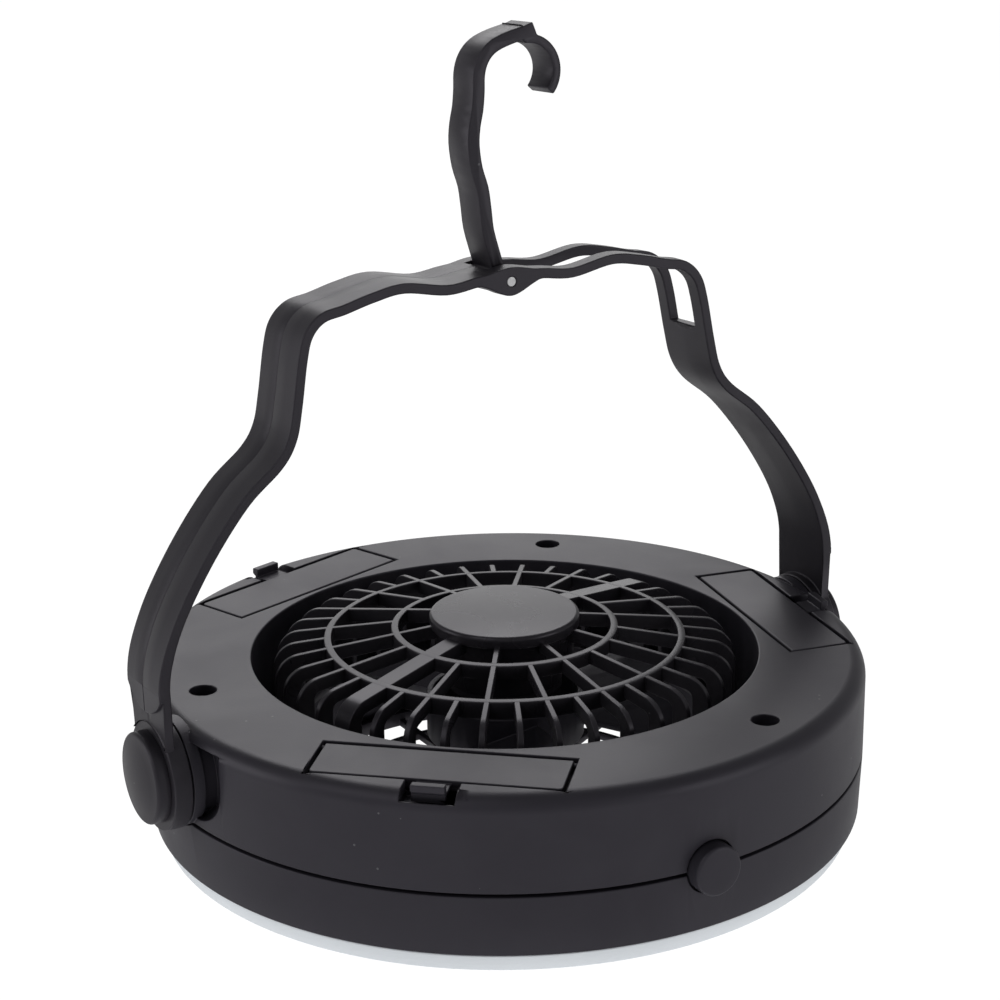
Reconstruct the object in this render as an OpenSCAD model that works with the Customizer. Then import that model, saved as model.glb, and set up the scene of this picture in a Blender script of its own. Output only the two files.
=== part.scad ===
// Camping fan with a ring light.
// A low round case holds a caged fan in the middle, three AA cells round it and a ring of
// LEDs under a frosted diffuser. A wavy carry handle swings on two side bosses, and a
// hanging hook folds out of a slot in the handle.
// The frame stands on the resting face, +Z up, with the handle's hinge axis along X and the
// push button at -Y. Millimetres throughout.

/* [Case] */
// Outer radius of both case halves at the seam
case_r = 88; // [87:0.5:98]
// Height of the flat top face over the resting face
case_h = 42.4; // [42:0.2:50]
// Height of the seam between the case halves
seam_z = 19.5; // [19:0.25:20.5]
// Width of the dark groove at the seam
seam_gap = 0.8; // [0.4:0.1:1.2]
// Wall thickness of the case halves
case_wall = 2; // [1.6:0.1:2.4]
// Thickness of the top face
top_t = 2.2; // [2:0.1:2.8]
// Radius of the rounded shoulder round the top face
shoulder_r = 4; // [2:0.5:5]
// Width of the rim between a battery bay and the case's outer radius
latch_room = 8.5; // [8.2:0.1:10]
// Thickness of the well's wall
well_wall = 1.6; // [1.2:0.1:2]
// Height of the lower case's bottom edge
skirt_z = 4.8; // [4:0.2:6]
// Inward draft of the lower case over its height
skirt_draft = 0.6; // [0:0.1:1]
// Height of the deck inside the lower case
deck_z = 9; // [8.4:0.2:10]
// Thickness of the deck
deck_t = 2; // [1.4:0.2:2.6]

/* [Light] */
// How far the diffuser's foot lies inside the case's outer radius
diffuser_inset = 2.9; // [2.4:0.1:5]
// Thickness of the diffuser
diffuser_t = 1.8; // [1.2:0.2:2]
// Thickness of the LED board
board_t = 1.6; // [1:0.2:1.6]
// Number of LEDs round the board
led_count = 18; // [12:1:24]
// Radius of one LED's dome
led_r = 2.5; // [1.5:0.25:3]

/* [Air path] */
// How far the duct below the fan lies inside the well's wall
duct_inset = 4.8; // [4.6:0.1:5.2]
// Width of the air gap between the well and the cage's fins
intake_gap = 5.3; // [4.8:0.1:6.5]
// Height of the cage's flat top over the case's top face
cage_rise = 4.5; // [4.2:0.1:8]
// Bend radius where a fin turns down
fin_bend = 6.4; // [4:0.2:8]
// Thickness of a spoke and a fin
fin_t = 1.2; // [0.8:0.1:1.6]
// Depth of a fin from its outer edge
fin_depth = 4.4; // [3:0.2:6]
// Number of fins round the skirt, a multiple of four
fin_count = 40; // [32:4:48]
// Width of the two wide bars
bar_w = 4.8; // [3:0.2:7]
// Middle radius of the cage's inner ring
inner_ring_r = 26.9; // [24:0.5:30]
// How far the cage's outer ring lies inside the fins
outer_ring_inset = 13.4; // [12:0.2:15]
// Width of the cage's rings
ring_w = 1.8; // [1.2:0.1:2.4]
// Radius of the round cap over the motor
hub_r = 18.5; // [17.5:0.25:21]
// Height of the motor cap's top over the cage's top
hub_rise = 4.4; // [4:0.1:6]
// Gap between the fan's blade tips and the fins
tip_gap = 6.4; // [2:0.2:12]
// Radius of the fan's hub
fan_hub_r = 19.5; // [16:0.25:21]
// Number of fan blades
blade_count = 3; // [3:1:5]
// Blade width as an angle
blade_arc = 50; // [30:1:60]
// Pitch of a blade at its middle
blade_pitch = 22; // [15:1:26]
// Thickness of a blade
blade_t = 1.3; // [1:0.1:1.8]

/* [Motor] */
// Radius of the motor can
motor_r = 12.2; // [11:0.1:12.4]
// Length of the motor can
motor_l = 12; // [10:0.25:12.4]
// Radius of the motor shaft
shaft_r = 1; // [0.75:0.05:1.25]

/* [Batteries] */
// Radius of one AA cell
cell_r = 7.15; // [6.9:0.05:7.25]
// Length of one AA cell with its nub
cell_l = 50.5; // [49.5:0.1:51]
// Half length of a battery bay along the cell
bay_half = 27.4; // [27:0.1:27.8]
// Free space round a cell in its bay
cell_gap = 0.15; // [0.05:0.05:0.3]
// Thickness of a bay's floor and ends
bay_wall = 1.4; // [1:0.1:1.6]
// Gap round each battery door
door_gap = 0.3; // [0.2:0.05:0.5]
// Width of a door's latch tab
tab_w = 7.4; // [5:0.2:9]
// Width of the notch in the rim for the tab
notch_w = 12.2; // [10:0.2:15]

/* [Button] */
// Radius of the push button
button_r = 5.9; // [4:0.1:6.6]
// How far the button stands out of the case
button_out = 3.3; // [2.5:0.1:5]
// Travel of the push button
button_travel = 1.5; // [0.8:0.1:1.8]

/* [Handle] */
// Depth of the handle's hinge axis under the case's top face
pivot_drop = 12.4; // [12:0.1:12.8]
// Outer radius of the handle's round ends
pivot_boss_r = 13; // [12.8:0.1:14]
// Width of the handle band along Y
handle_w = 19.1; // [17:0.1:23]
// Thickness of the handle band
handle_t = 2.9; // [2.4:0.1:3.4]
// Height of the hook pin over the hinge axis with the handle upright
handle_rise = 104.2; // [100:0.2:120]
// Half width of the grip at the shoulders
grip_half = 52.5; // [51.5:0.25:54]
// Angle at which the handle leans towards +Y
handle_lean = 2.35; // [0:0.05:5]
// Gap between the handle and the case bosses
swing_gap = 0.3; // [0.2:0.05:0.5]

/* [Hook] */
// Width of the hook along the pin
hook_w = 9.6; // [8:0.1:10.4]
// Thickness of the hook's stem
hook_t = 3.2; // [2.6:0.1:3.6]
// Height of the hook's top corner over the pin
hook_h = 58.4; // [56:0.2:60]
// Inner radius of the hook's curl
curl_r = 6.4; // [5.5:0.1:6.8]
// Thickness of the hook's curl
curl_t = 2.1; // [1.8:0.1:2.6]
// Radius of the hook pin
pin_r = 1.1; // [0.9:0.05:1.4]
// Gap at each side of the hook in its slot
hook_gap = 0.4; // [0.3:0.05:0.8]

/* [Hidden] */
$fn = 96;
eps = 0.01;

plastic_color = [0.13, 0.13, 0.14];
frosted_color = [0.88, 0.88, 0.92];
steel_color = [0.75, 0.75, 0.77];
board_color = [0.93, 0.93, 0.9];
cell_color = [0.35, 0.36, 0.4];

// Small fits: a loose seat, a running fit and a pressed fit, each on the radius
seat_gap = 0.2;
run_gap = 0.08;
press_gap = 0.01;

// Levels of the case
upper_z = seam_z + seam_gap / 2;
lower_z = seam_z - seam_gap / 2;
deck_top = deck_z + deck_t;
lip_gap = 0.3;
lip_t = 1.4;
lip_h = 2;
lip_foot_z = lower_z - 3;
lip_r = case_r - case_wall - lip_gap;
pivot_z = case_h - pivot_drop;
pin_z = pivot_z + handle_rise;
cage_z = case_h + cage_rise;

// Battery bays: door angles, and places measured from the case axis along the door's normal
door_turns = [-131.7, -11.7, 108.3];
door_lap = 1.1;
bay_out = case_r - latch_room;
cell_x = bay_out - cell_gap - cell_r;
bay_in = cell_x - cell_gap - cell_r;
door_in = bay_in - door_lap + seat_gap;
well_r = door_in - door_gap - well_wall;

// Well, duct and cage seat
fin_r = well_r - intake_gap;
duct_r = well_r - duct_inset;
outer_ring_r = fin_r - outer_ring_inset;
fan_r = fin_r - fin_depth - tip_gap;
seat_rise = 9.2;
seat_z = deck_top + seat_rise;
flange_t = 1.5;
well_floor = seat_z + flange_t + seat_gap;
flange_r = well_r - 2 * seat_gap;
duct_wall = 1.6;
duct_z = 0.6;
foot_out = 0.8;
foot_t = flange_t + 0.6;
cage_screw_turn = 36;
cage_screw_bore = 0.9;
cage_screw_head_r = 2 * cage_screw_bore;
cage_screw_r = fin_r + foot_out + cage_screw_head_r + 0.15;
cage_post_r = cage_screw_r - duct_r - duct_wall / 4;

// Doors and cells
barrel_r = top_t / 2;
barrel_x = door_in + barrel_r;
door_out = bay_out + 0.3;
door_half = bay_half + door_lap;
ledge_z = case_h - top_t;
cell_top_gap = 0.6;
cell_z = ledge_z - cell_top_gap - cell_r;
bay_floor = cell_z - cell_r - 2 * cell_gap;
trunnion_r = barrel_r - 0.4;
trunnion_l = 0.9;
tab_l = 5.4;
tab_out = door_out + tab_l;
tab_rise = 0.6;
notch_z = ledge_z + 0.1;
notch_pad_t = 1.8;
notch_pad_wall = 1.5;
contact_t = 0.4;

// Case screws, in deep wells between the battery bays
screw_turns = [-69.7, 50.3, 170.3];
screw_inset = 12;
screw_ring_r = case_r - screw_inset;
screw_well_r = 3.2;
screw_well_wall = 1.4;
screw_seat_z = upper_z + 4;
screw_r = 1.3;
screw_head_t = 2;
screw_slot_w = 0.7;

// Handle pivots
flat_x = case_r - 5.4;
recess_half = 19.4;
recess_top = ledge_z - 0.2;
recess_foot = upper_z + 1.3;
recess_r = (recess_top - recess_foot) / 2;
neck_r = pivot_boss_r - 1.4;
flange_in = case_r - 2.1;
flange_out = case_r + 0.8;
bearing_r = pivot_boss_r - 0.3;
spigot_r = 4.1;
handle_in = flange_out + swing_gap;
boss_t = 4.5;
handle_out = handle_in + boss_t;
web_t = 2.7;
counterbore_r = 8.4;
spigot_end = handle_in + web_t + seat_gap;
washer_t = 0.6;
washer_r = counterbore_r - 0.5;
pivot_screw_r = 1.45;
pivot_screw_head_r = 3.4;
pivot_screw_head_t = 1.8;
cap_r = pivot_boss_r - 2.2;
cap_rim = 3;
cap_dome = 1.8;
cap_wall = 1.2;

// Handle band: middle line from the pin to the arm's foot, and how the band swells at the pin
arm_x = handle_out - 0.7;
shoulder_x = grip_half + 5.6;
arm_span = arm_x - shoulder_x;
band_rise = 0.9;
swell_half = 9;
arm_foot_z = pivot_z + 23;
arm_step = 0.8;
layer_tip_z = arm_foot_z - 8;
layer_r = handle_w / 2 + 2.25;
slot_w = hook_w + 2 * hook_gap;
window_z = pin_z - 18.4;
eye_r = 3.4;
pin_boss_r = 3.6;
eye_gap = 0.6;

// Button and switch
button_z = seam_z + 0.4;
button_gap = 0.4;
button_flange_r = button_r + 1.3;
button_flange_t = 1;
button_flange_y = sqrt(pow(lip_r, 2) - pow(button_flange_r, 2)) - lip_gap;
switch_front = button_flange_y - button_flange_t - button_travel - 0.6;
switch_size = [10, 9, 8];
plunger_r = 1.5;
plunger_in = 2;

// Fan stack
cup_wall = 1.7;
cup_gap = 0.15;
cup_r = motor_r + cup_gap + cup_wall;
neck_out_r = hub_r - 1.6;
neck_drop = 2.5;
hub_top = cage_z + hub_rise;
hub_t = 3;
hub_edge_r = 1;
cup_top = hub_top - hub_t;
end_cap_t = 1.2;
terminal_x = 4;
terminal_w = 2;
terminal_t = 0.5;
terminal_h = 0.7;
end_cap_room = end_cap_t + terminal_h + seat_gap;
motor_top = cup_top - end_cap_room;
motor_z = motor_top - motor_l;
retainer_t = 1.6;
retainer_z = motor_z - retainer_t;
motor_screw_x = 6;
motor_screw_r = 1;
motor_screw_l = 2.4;
motor_screw_head_t = 1.2;
fan_gap = 0.8;
fan_top = retainer_z - motor_screw_head_t - fan_gap;
fan_hub_h = 11;
fan_z = fan_top - fan_hub_h / 2;
fan_foot = fan_top - fan_hub_h;
fan_floor = 2;
fan_hub_wall = 1.6;
fan_boss_r = shaft_r + 2.4;
shaft_clear = 2.4;
camber_r = 60;
blade_turn = -2;
bar_turn = 18;
spoke_h = 3.4;
outer_ring_drop = 0.8;

// Catmull-Rom curve through the points between the first and the last
function curve_point(a, b, c, d, t) =
    0.5 * (2 * b + (c - a) * t + (2 * a - 5 * b + 4 * c - d) * t * t
    + (3 * b - a - 3 * c + d) * t * t * t);
function curve(points, steps) = concat(
    [for (i = [1 : len(points) - 3]) for (s = [0 : steps - 1])
        curve_point(points[i - 1], points[i], points[i + 1], points[i + 2], s / steps)],
    [points[len(points) - 2]]);
function side_step(path, i) =
    let (a = path[max(i - 1, 0)], b = path[min(i + 1, len(path) - 1)], d = b - a)
    [-d[1], d[0]] / norm(d);
function band_side(path, distance) =
    [for (i = [0 : len(path) - 1]) path[i] + distance * side_step(path, i)];
function reversed(list) = [for (i = [len(list) - 1 : -1 : 0]) list[i]];
function arc(centre, radius, from, to, steps) =
    [for (s = [0 : steps]) let (a = from + (to - from) * s / steps)
        centre + radius * [cos(a), sin(a)]];

// Smooth step from 1 at the middle to 0 at half a width away
function swell(x, half) = let (k = max(0, 1 - abs(x) / half)) k * k * (3 - 2 * k);

module band(path, thickness) {
    polygon(concat(band_side(path, thickness / 2), reversed(band_side(path, -thickness / 2))));
}

// The handle's band, which swells round the hook pin to the pin boss
module handle_band(path) {
    upper = [for (i = [0 : len(path) - 1]) path[i] + side_step(path, i)
        * (handle_t / 2 + (pin_boss_r - band_rise - handle_t / 2) * swell(path[i][0], swell_half))];
    lower = [for (i = [0 : len(path) - 1]) path[i] - side_step(path, i)
        * (handle_t / 2 + (pin_boss_r + band_rise - handle_t / 2) * swell(path[i][0], swell_half))];
    polygon(concat(upper, reversed(lower)));
}

// Draws a plan of X and Z as a slab of the given width, centred on Y
module slab(width) {
    translate([0, width / 2, 0]) rotate([90, 0, 0]) linear_extrude(width) children();
}

module ring(outer, inner, from, height) {
    translate([0, 0, from]) difference() {
        cylinder(r = outer, h = height);
        translate([0, 0, -eps]) cylinder(r = inner, h = height + 2 * eps);
    }
}

module at_doors() {
    for (turn = door_turns) rotate([0, 0, turn]) children();
}

module at_screws() {
    for (turn = screw_turns) rotate([0, 0, turn]) translate([screw_ring_r, 0, 0]) children();
}

module at_cage_screws() {
    for (i = [0 : 2]) rotate([0, 0, cage_screw_turn + 120 * i])
        translate([cage_screw_r, 0, 0]) children();
}

// A rod along +X from one end to the other, at the height of the handle's axis
module pivot_rod(from, to, radius) {
    translate([from, 0, pivot_z]) rotate([0, 90, 0]) cylinder(r = radius, h = to - from);
}

module y_cylinder(x, z, radius, width) {
    translate([x, 0, z]) rotate([90, 0, 0]) cylinder(r = radius, h = width, center = true);
}

module both_sides() {
    children();
    mirror([1, 0, 0]) children();
}

// Turns the upright handle and hook about the hinge axis to their resting lean
module leaned() {
    translate([0, 0, pivot_z]) rotate([-handle_lean, 0, 0]) translate([0, 0, -pivot_z])
        children();
}

// ---- Case ----

module case_section() {
    difference() {
        translate([well_r, upper_z]) square([case_r - well_r, case_h - upper_z]);
        difference() {
            translate([case_r - shoulder_r, case_h - shoulder_r]) square(shoulder_r + 1);
            translate([case_r - shoulder_r, case_h - shoulder_r]) circle(shoulder_r);
        }
        translate([well_r + well_wall, upper_z - 1])
            square([case_r - case_wall - well_r - well_wall, ledge_z - upper_z + 1]);
        translate([well_r - 1, upper_z - 1]) square([well_wall + 2, well_floor - upper_z + 1]);
    }
}

module bay_block() {
    inner = well_r + well_wall / 2;
    intersection() {
        translate([inner, -bay_half - bay_wall, bay_floor - bay_wall])
            cube([bay_out + bay_wall - inner, 2 * (bay_half + bay_wall), case_h]);
        cylinder(r = case_r - case_wall / 2, h = case_h - top_t / 2);
    }
}

module bay_hollow() {
    translate([bay_in, -bay_half, bay_floor])
        cube([bay_out - bay_in, 2 * bay_half, case_h]);
    translate([door_in - door_gap, -door_half - door_gap, ledge_z])
        cube([door_out - door_in + 2 * door_gap, 2 * (door_half + door_gap), top_t + 1]);
    translate([barrel_x, 0, ledge_z + barrel_r]) rotate([90, 0, 0])
        cylinder(r = trunnion_r + run_gap, h = 2 * (door_half + trunnion_l + seat_gap), center = true);
    translate([door_out, -notch_w / 2, notch_z]) cube([case_r, notch_w, case_h]);
}

module notch_pad() {
    intersection() {
        translate([bay_out, -notch_w / 2 - notch_pad_wall, ledge_z - notch_pad_t])
            cube([case_r, notch_w + 2 * notch_pad_wall, notch_pad_t + top_t / 2]);
        cylinder(r = case_r - case_wall / 2, h = case_h);
    }
}

// Oblong pocket in the wall round the handle's bearing, below the top face
module pivot_recess() {
    middle = recess_half - recess_r;
    translate([flat_x, 0, recess_foot + recess_r]) rotate([0, 90, 0]) {
        for (side = [-1, 1]) translate([0, side * middle, 0]) cylinder(r = recess_r, h = case_r);
        translate([-recess_r, -middle, 0]) cube([2 * recess_r, 2 * middle, case_r]);
    }
}

module pivot_backing() {
    intersection() {
        translate([flat_x - case_wall, -recess_half - 2, upper_z])
            cube([case_wall + 6, 2 * recess_half + 4, ledge_z - upper_z + 1]);
        cylinder(r = case_r - case_wall / 2, h = case_h - top_t / 2);
    }
}

module button_bore(radius, depth) {
    translate([0, -case_r + depth, button_z]) rotate([90, 0, 0])
        cylinder(r = radius, h = depth + 10);
}

module upper_case() color(plastic_color) {
    difference() {
        union() {
            difference() {
                union() {
                    rotate_extrude() case_section();
                    at_doors() bay_block();
                    at_doors() notch_pad();
                    both_sides() pivot_backing();
                }
                both_sides() pivot_recess();
            }
            at_screws() translate([0, 0, upper_z])
                cylinder(r = screw_well_r + screw_well_wall, h = case_h - upper_z - top_t / 2);
            both_sides() {
                pivot_rod(flat_x - case_wall / 2, flange_in + eps, neck_r);
                pivot_rod(flange_in, flange_out, bearing_r);
                pivot_rod(flange_out - eps, spigot_end, spigot_r);
            }
        }
        at_doors() bay_hollow();
        at_screws() {
            translate([0, 0, screw_seat_z]) cylinder(r = screw_well_r, h = case_h);
            cylinder(r = screw_r + seat_gap, h = case_h);
        }
        both_sides() pivot_rod(flat_x + 0.6, spigot_end + 1, pivot_screw_r + press_gap);
        button_bore(button_r + button_gap, case_wall + 4);
    }
}

module skirt_section() {
    polygon([[case_r, lower_z], [case_r - skirt_draft, skirt_z],
        [case_r - case_wall, skirt_z], [case_r - case_wall, deck_z], [duct_r + duct_wall, deck_z],
        [duct_r + duct_wall, duct_z], [duct_r, duct_z], [duct_r, seat_z],
        [duct_r + duct_wall, seat_z], [duct_r + duct_wall, deck_top],
        [case_r - case_wall, deck_top],
        [case_r - case_wall, lower_z]]);
}

// Lip that locates the upper case, on a web inside the lower case's wall
module seam_lip() {
    difference() {
        union() {
            ring(lip_r, lip_r - lip_t, lip_foot_z, upper_z + lip_h - lip_foot_z);
            ring(case_r - case_wall / 2, lip_r - lip_t, lip_foot_z, lip_t);
        }
        both_sides() translate([flat_x - case_wall - 1, -recess_half - 3, lip_foot_z - 1])
            cube([case_r, 2 * recess_half + 6, case_h]);
        button_bore(button_flange_r + 3 * seat_gap, case_wall + 4);
        // Room under the battery bays
        at_doors() translate([0, -bay_half - bay_wall - seat_gap, bay_floor - bay_wall - seat_gap])
            cube([case_r, 2 * (bay_half + bay_wall + seat_gap), case_h]);
    }
}

module switch_shelf() {
    translate([-switch_size[0] / 2, -switch_front, deck_top - eps])
        cube([switch_size[0], switch_size[1], button_z - switch_size[2] / 2 - deck_top + eps]);
}

module lower_case() color(plastic_color) {
    difference() {
        union() {
            rotate_extrude() skirt_section();
            seam_lip();
            at_screws() translate([0, 0, deck_top - eps])
                cylinder(r = screw_well_r + screw_well_wall, h = upper_z - deck_top);
            at_cage_screws() translate([0, 0, deck_top - eps])
                cylinder(r = cage_post_r, h = seat_z - seat_gap - deck_top);
            switch_shelf();
        }
        at_screws() translate([0, 0, deck_top]) cylinder(r = screw_r + press_gap, h = case_h);
        at_cage_screws() translate([0, 0, deck_top + 1])
            cylinder(r = cage_screw_bore + press_gap, h = case_h);
        button_bore(button_r + button_gap, case_wall + 0.4);
        // Room for the handle's bearings, which reach below the seam
        both_sides() pivot_rod(flat_x, flange_out + 1, bearing_r + seat_gap);
    }
}

// ---- Light ----

diffuser_in = duct_r + duct_wall + 2 * seat_gap;
diffuser_top = deck_z - 0.1;
diffuser_rim_z = skirt_z - seat_gap;
diffuser_wall_r = case_r - case_wall - 0.3;
rim_r = case_r - skirt_draft - 0.5;
diffuser_r = case_r - diffuser_inset;

module light_diffuser() color(frosted_color) {
    rotate_extrude() polygon([
        [diffuser_in, 0], [diffuser_r, 0], [rim_r, diffuser_rim_z],
        [diffuser_wall_r, diffuser_rim_z], [diffuser_wall_r, diffuser_top],
        [diffuser_wall_r - diffuser_t, diffuser_top],
        [diffuser_wall_r - diffuser_t, diffuser_rim_z],
        [diffuser_r - diffuser_t, diffuser_t], [diffuser_in + diffuser_t, diffuser_t],
        [diffuser_in + diffuser_t, diffuser_top], [diffuser_in, diffuser_top]]);
}

board_in = diffuser_in + diffuser_t + 2 * seat_gap;
board_out = diffuser_wall_r - diffuser_t - 0.5;
board_z = deck_z - board_t;
led_ring_r = (board_in + board_out) / 2;
led_foot = 0.8;
led_flange = 0.4;
led_l = board_z - diffuser_t - 3 * seat_gap;

module led_board() color(board_color) {
    ring(board_out, board_in, board_z, board_t);
}

module leds() color([0.97, 0.96, 0.85])
    for (i = [0 : led_count - 1]) rotate([0, 0, 360 * i / led_count])
        translate([led_ring_r, 0, 0]) {
            translate([0, 0, board_z - led_foot]) cylinder(r = led_r + led_flange, h = led_foot);
            translate([0, 0, board_z - led_l + led_r])
                cylinder(r = led_r, h = led_l - led_r - led_foot / 2);
            translate([0, 0, board_z - led_l + led_r]) sphere(r = led_r);
        }

// ---- Air path ----

fin_foot = seat_z + flange_t;
foot_in = fin_r - fin_depth - 1;
neck_z = cage_z - spoke_h - neck_drop;

// Fin outline in radius and height: flat top, bend, and a skirt down to the base ring
module fin_outline(from) {
    bend_in = max(fin_bend - fin_depth, fin_t / 2);
    polygon(concat(
        [[from, cage_z - spoke_h], [from, cage_z]],
        arc([fin_r - fin_bend, cage_z - fin_bend], fin_bend, 90, 0, 8),
        [[fin_r, fin_foot - eps], [fin_r - fin_depth, fin_foot - eps]],
        arc([fin_r - fin_depth - bend_in, cage_z - spoke_h - bend_in], bend_in, 0, 90, 4)));
}

module radial_plate(width) {
    rotate([90, 0, 0]) translate([0, 0, -width / 2]) linear_extrude(width) children();
}

module intake_cage() color(plastic_color) {
    difference() {
        union() {
            // Motor cap, its neck and the cup that holds the motor
            rotate_extrude() difference() {
                translate([0, cup_top]) square([hub_r, hub_t]);
                translate([hub_r - hub_edge_r, hub_top - hub_edge_r]) difference() {
                    square(2 * hub_edge_r);
                    circle(hub_edge_r);
                }
            }
            ring(neck_out_r, neck_out_r - cup_wall, neck_z, cup_top - neck_z + eps);
            ring(cup_r, motor_r + cup_gap, motor_z, cup_top - motor_z + eps);
            // Rings
            ring(inner_ring_r + ring_w / 2, inner_ring_r - ring_w / 2, cage_z - spoke_h, spoke_h);
            ring(outer_ring_r + ring_w / 2, outer_ring_r - ring_w / 2,
                cage_z - spoke_h - outer_ring_drop, spoke_h + outer_ring_drop);
            ring(fin_r + foot_out, foot_in, seat_z, foot_t);
            ring(flange_r, foot_in, seat_z, flange_t);
            // Spokes and fins
            for (i = [0 : fin_count - 1]) rotate([0, 0, bar_turn + 360 * i / fin_count]) {
                is_bar = i == 0 || i == fin_count / 2;
                from = i % 4 == 0 ? neck_out_r - 0.5 : i % 2 == 0 ? inner_ring_r : outer_ring_r;
                radial_plate(is_bar ? bar_w : fin_t) fin_outline(from);
            }
        }
        at_cage_screws() cylinder(r = cage_screw_bore + seat_gap, h = case_h);
    }
}

grille_t = 2.2;
grille_step = 10;
grille_spokes = 12;
grille_hub_r = 15;
grille_bar_w = 1.6;
grille_z = 0.3;
grille_rim_w = 2.1;
grille_rim_h = 3.7;
grille_out_r = duct_r - 0.1;

module outlet_grille() color(plastic_color) {
    bar_h = grille_t - grille_z;
    cylinder(r = grille_hub_r, h = grille_t);
    for (r = [grille_hub_r + grille_step : grille_step : duct_r - grille_rim_w - grille_bar_w])
        ring(r + grille_bar_w / 2, r - grille_bar_w / 2, grille_z, bar_h);
    ring(grille_out_r, grille_out_r - grille_rim_w, grille_z, grille_rim_h);
    for (i = [0 : grille_spokes - 1]) rotate([0, 0, 360 * i / grille_spokes])
        translate([grille_hub_r - 1, -grille_bar_w / 2, grille_z])
            cube([grille_out_r - grille_rim_w / 2 - grille_hub_r + 1, grille_bar_w, bar_h]);
}

module blade() {
    intersection() {
        translate([0, camber_r * sin(blade_pitch), fan_z - camber_r * cos(blade_pitch)])
            rotate([0, 90, 0]) difference() {
                cylinder(r = camber_r + blade_t / 2, h = fan_r + 1, $fn = 192);
                translate([0, 0, -eps]) cylinder(r = camber_r - blade_t / 2, h = fan_r + 2, $fn = 192);
            }
        translate([0, 0, fan_z - fan_hub_h]) linear_extrude(2 * fan_hub_h) intersection() {
            difference() {
                circle(fan_r);
                circle(fan_hub_r - fan_hub_wall / 2);
            }
            polygon([[0, 0], 1.5 * fan_r * [cos(blade_arc / 2), -sin(blade_arc / 2)],
                1.5 * fan_r * [cos(blade_arc / 2), sin(blade_arc / 2)]]);
        }
    }
}

module fan_impeller() color(plastic_color) {
    difference() {
        union() {
            translate([0, 0, fan_foot]) cylinder(r = fan_hub_r, h = fan_hub_h);
            for (i = [0 : blade_count - 1]) rotate([0, 0, blade_turn + 360 * i / blade_count])
                blade();
        }
        translate([0, 0, fan_foot + fan_floor]) cylinder(r = shaft_r + press_gap, h = fan_hub_h);
        ring(fan_hub_r - fan_hub_wall, fan_boss_r, fan_foot + fan_hub_wall, fan_hub_h);
    }
}

// ---- Motor ----

module at_motor_screws() {
    for (side = [-1, 1]) translate([side * motor_screw_x, 0, 0]) children();
}

module fan_motor() color(steel_color) {
    difference() {
        translate([0, 0, motor_z]) cylinder(r = motor_r, h = motor_l);
        translate([0, 0, motor_z - 1]) cylinder(r = shaft_r + run_gap, h = motor_l);
        at_motor_screws() translate([0, 0, motor_z - 1])
            cylinder(r = motor_screw_r + press_gap, h = motor_screw_l + 2);
    }
}

module motor_end_cap() color([0.9, 0.9, 0.86]) {
    translate([0, 0, motor_top]) cylinder(r = motor_r - 1.4, h = end_cap_t);
    for (side = [-1, 1]) translate([side * terminal_x - terminal_w / 2, -terminal_t / 2,
        motor_top + end_cap_t - eps]) cube([terminal_w, terminal_t, terminal_h]);
}

module motor_shaft() color(steel_color) {
    foot = fan_foot + fan_floor + seat_gap;
    translate([0, 0, foot]) cylinder(r = shaft_r, h = motor_top - shaft_clear - foot);
}

module motor_retainer() color(plastic_color) {
    difference() {
        translate([0, 0, retainer_z]) cylinder(r = cup_r, h = retainer_t);
        translate([0, 0, retainer_z - 1]) {
            cylinder(r = shaft_r + 2, h = retainer_t + 2);
            at_motor_screws() cylinder(r = motor_screw_r + seat_gap, h = retainer_t + 2);
        }
    }
}

module motor_screws() color(steel_color)
    at_motor_screws() {
        translate([0, 0, retainer_z - motor_screw_head_t])
            cylinder(r = 1.8 * motor_screw_r, h = motor_screw_head_t);
        translate([0, 0, retainer_z - eps]) cylinder(r = motor_screw_r, h = retainer_t + motor_screw_l);
    }

module cage_screws() color(steel_color)
    at_cage_screws() {
        translate([0, 0, fin_foot]) cylinder(r = cage_screw_head_r, h = 1.2);
        translate([0, 0, deck_top + 2])
            cylinder(r = cage_screw_bore, h = fin_foot - deck_top - 2 + eps);
    }

module cross_slot(length) {
    for (turn = [0, 90]) rotate([0, 0, turn])
        translate([-length / 2, -screw_slot_w / 2, 0]) cube([length, screw_slot_w, case_h]);
}

module case_screws() color(steel_color)
    at_screws() difference() {
        union() {
            translate([0, 0, screw_seat_z])
                cylinder(r = screw_well_r - 2 * seat_gap, h = screw_head_t);
            translate([0, 0, deck_top + 1.5])
                cylinder(r = screw_r, h = screw_seat_z - deck_top - 1.5 + eps);
        }
        translate([0, 0, screw_seat_z + screw_head_t / 2]) cross_slot(screw_well_r);
    }

// ---- Button and switch ----

module y_rod(radius, from, to) {
    translate([0, from, button_z]) rotate([-90, 0, 0]) cylinder(r = radius, h = to - from);
}

module push_button() color(plastic_color) {
    y_rod(button_r, -case_r - button_out, -button_flange_y + eps);
    y_rod(button_flange_r, -button_flange_y, -button_flange_y + button_flange_t);
}

module switch_plunger() color([0.85, 0.85, 0.82])
    y_rod(plunger_r, -button_flange_y + button_flange_t, -switch_front + plunger_in);

module switch_body() color([0.2, 0.2, 0.22]) {
    difference() {
        translate([-switch_size[0] / 2, -switch_front, button_z - switch_size[2] / 2])
            cube(switch_size);
        y_rod(plunger_r + run_gap, -switch_front - 1,
            -switch_front + plunger_in + button_travel + 3 * seat_gap);
    }
}

// ---- Battery doors, cells and contacts ----

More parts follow.
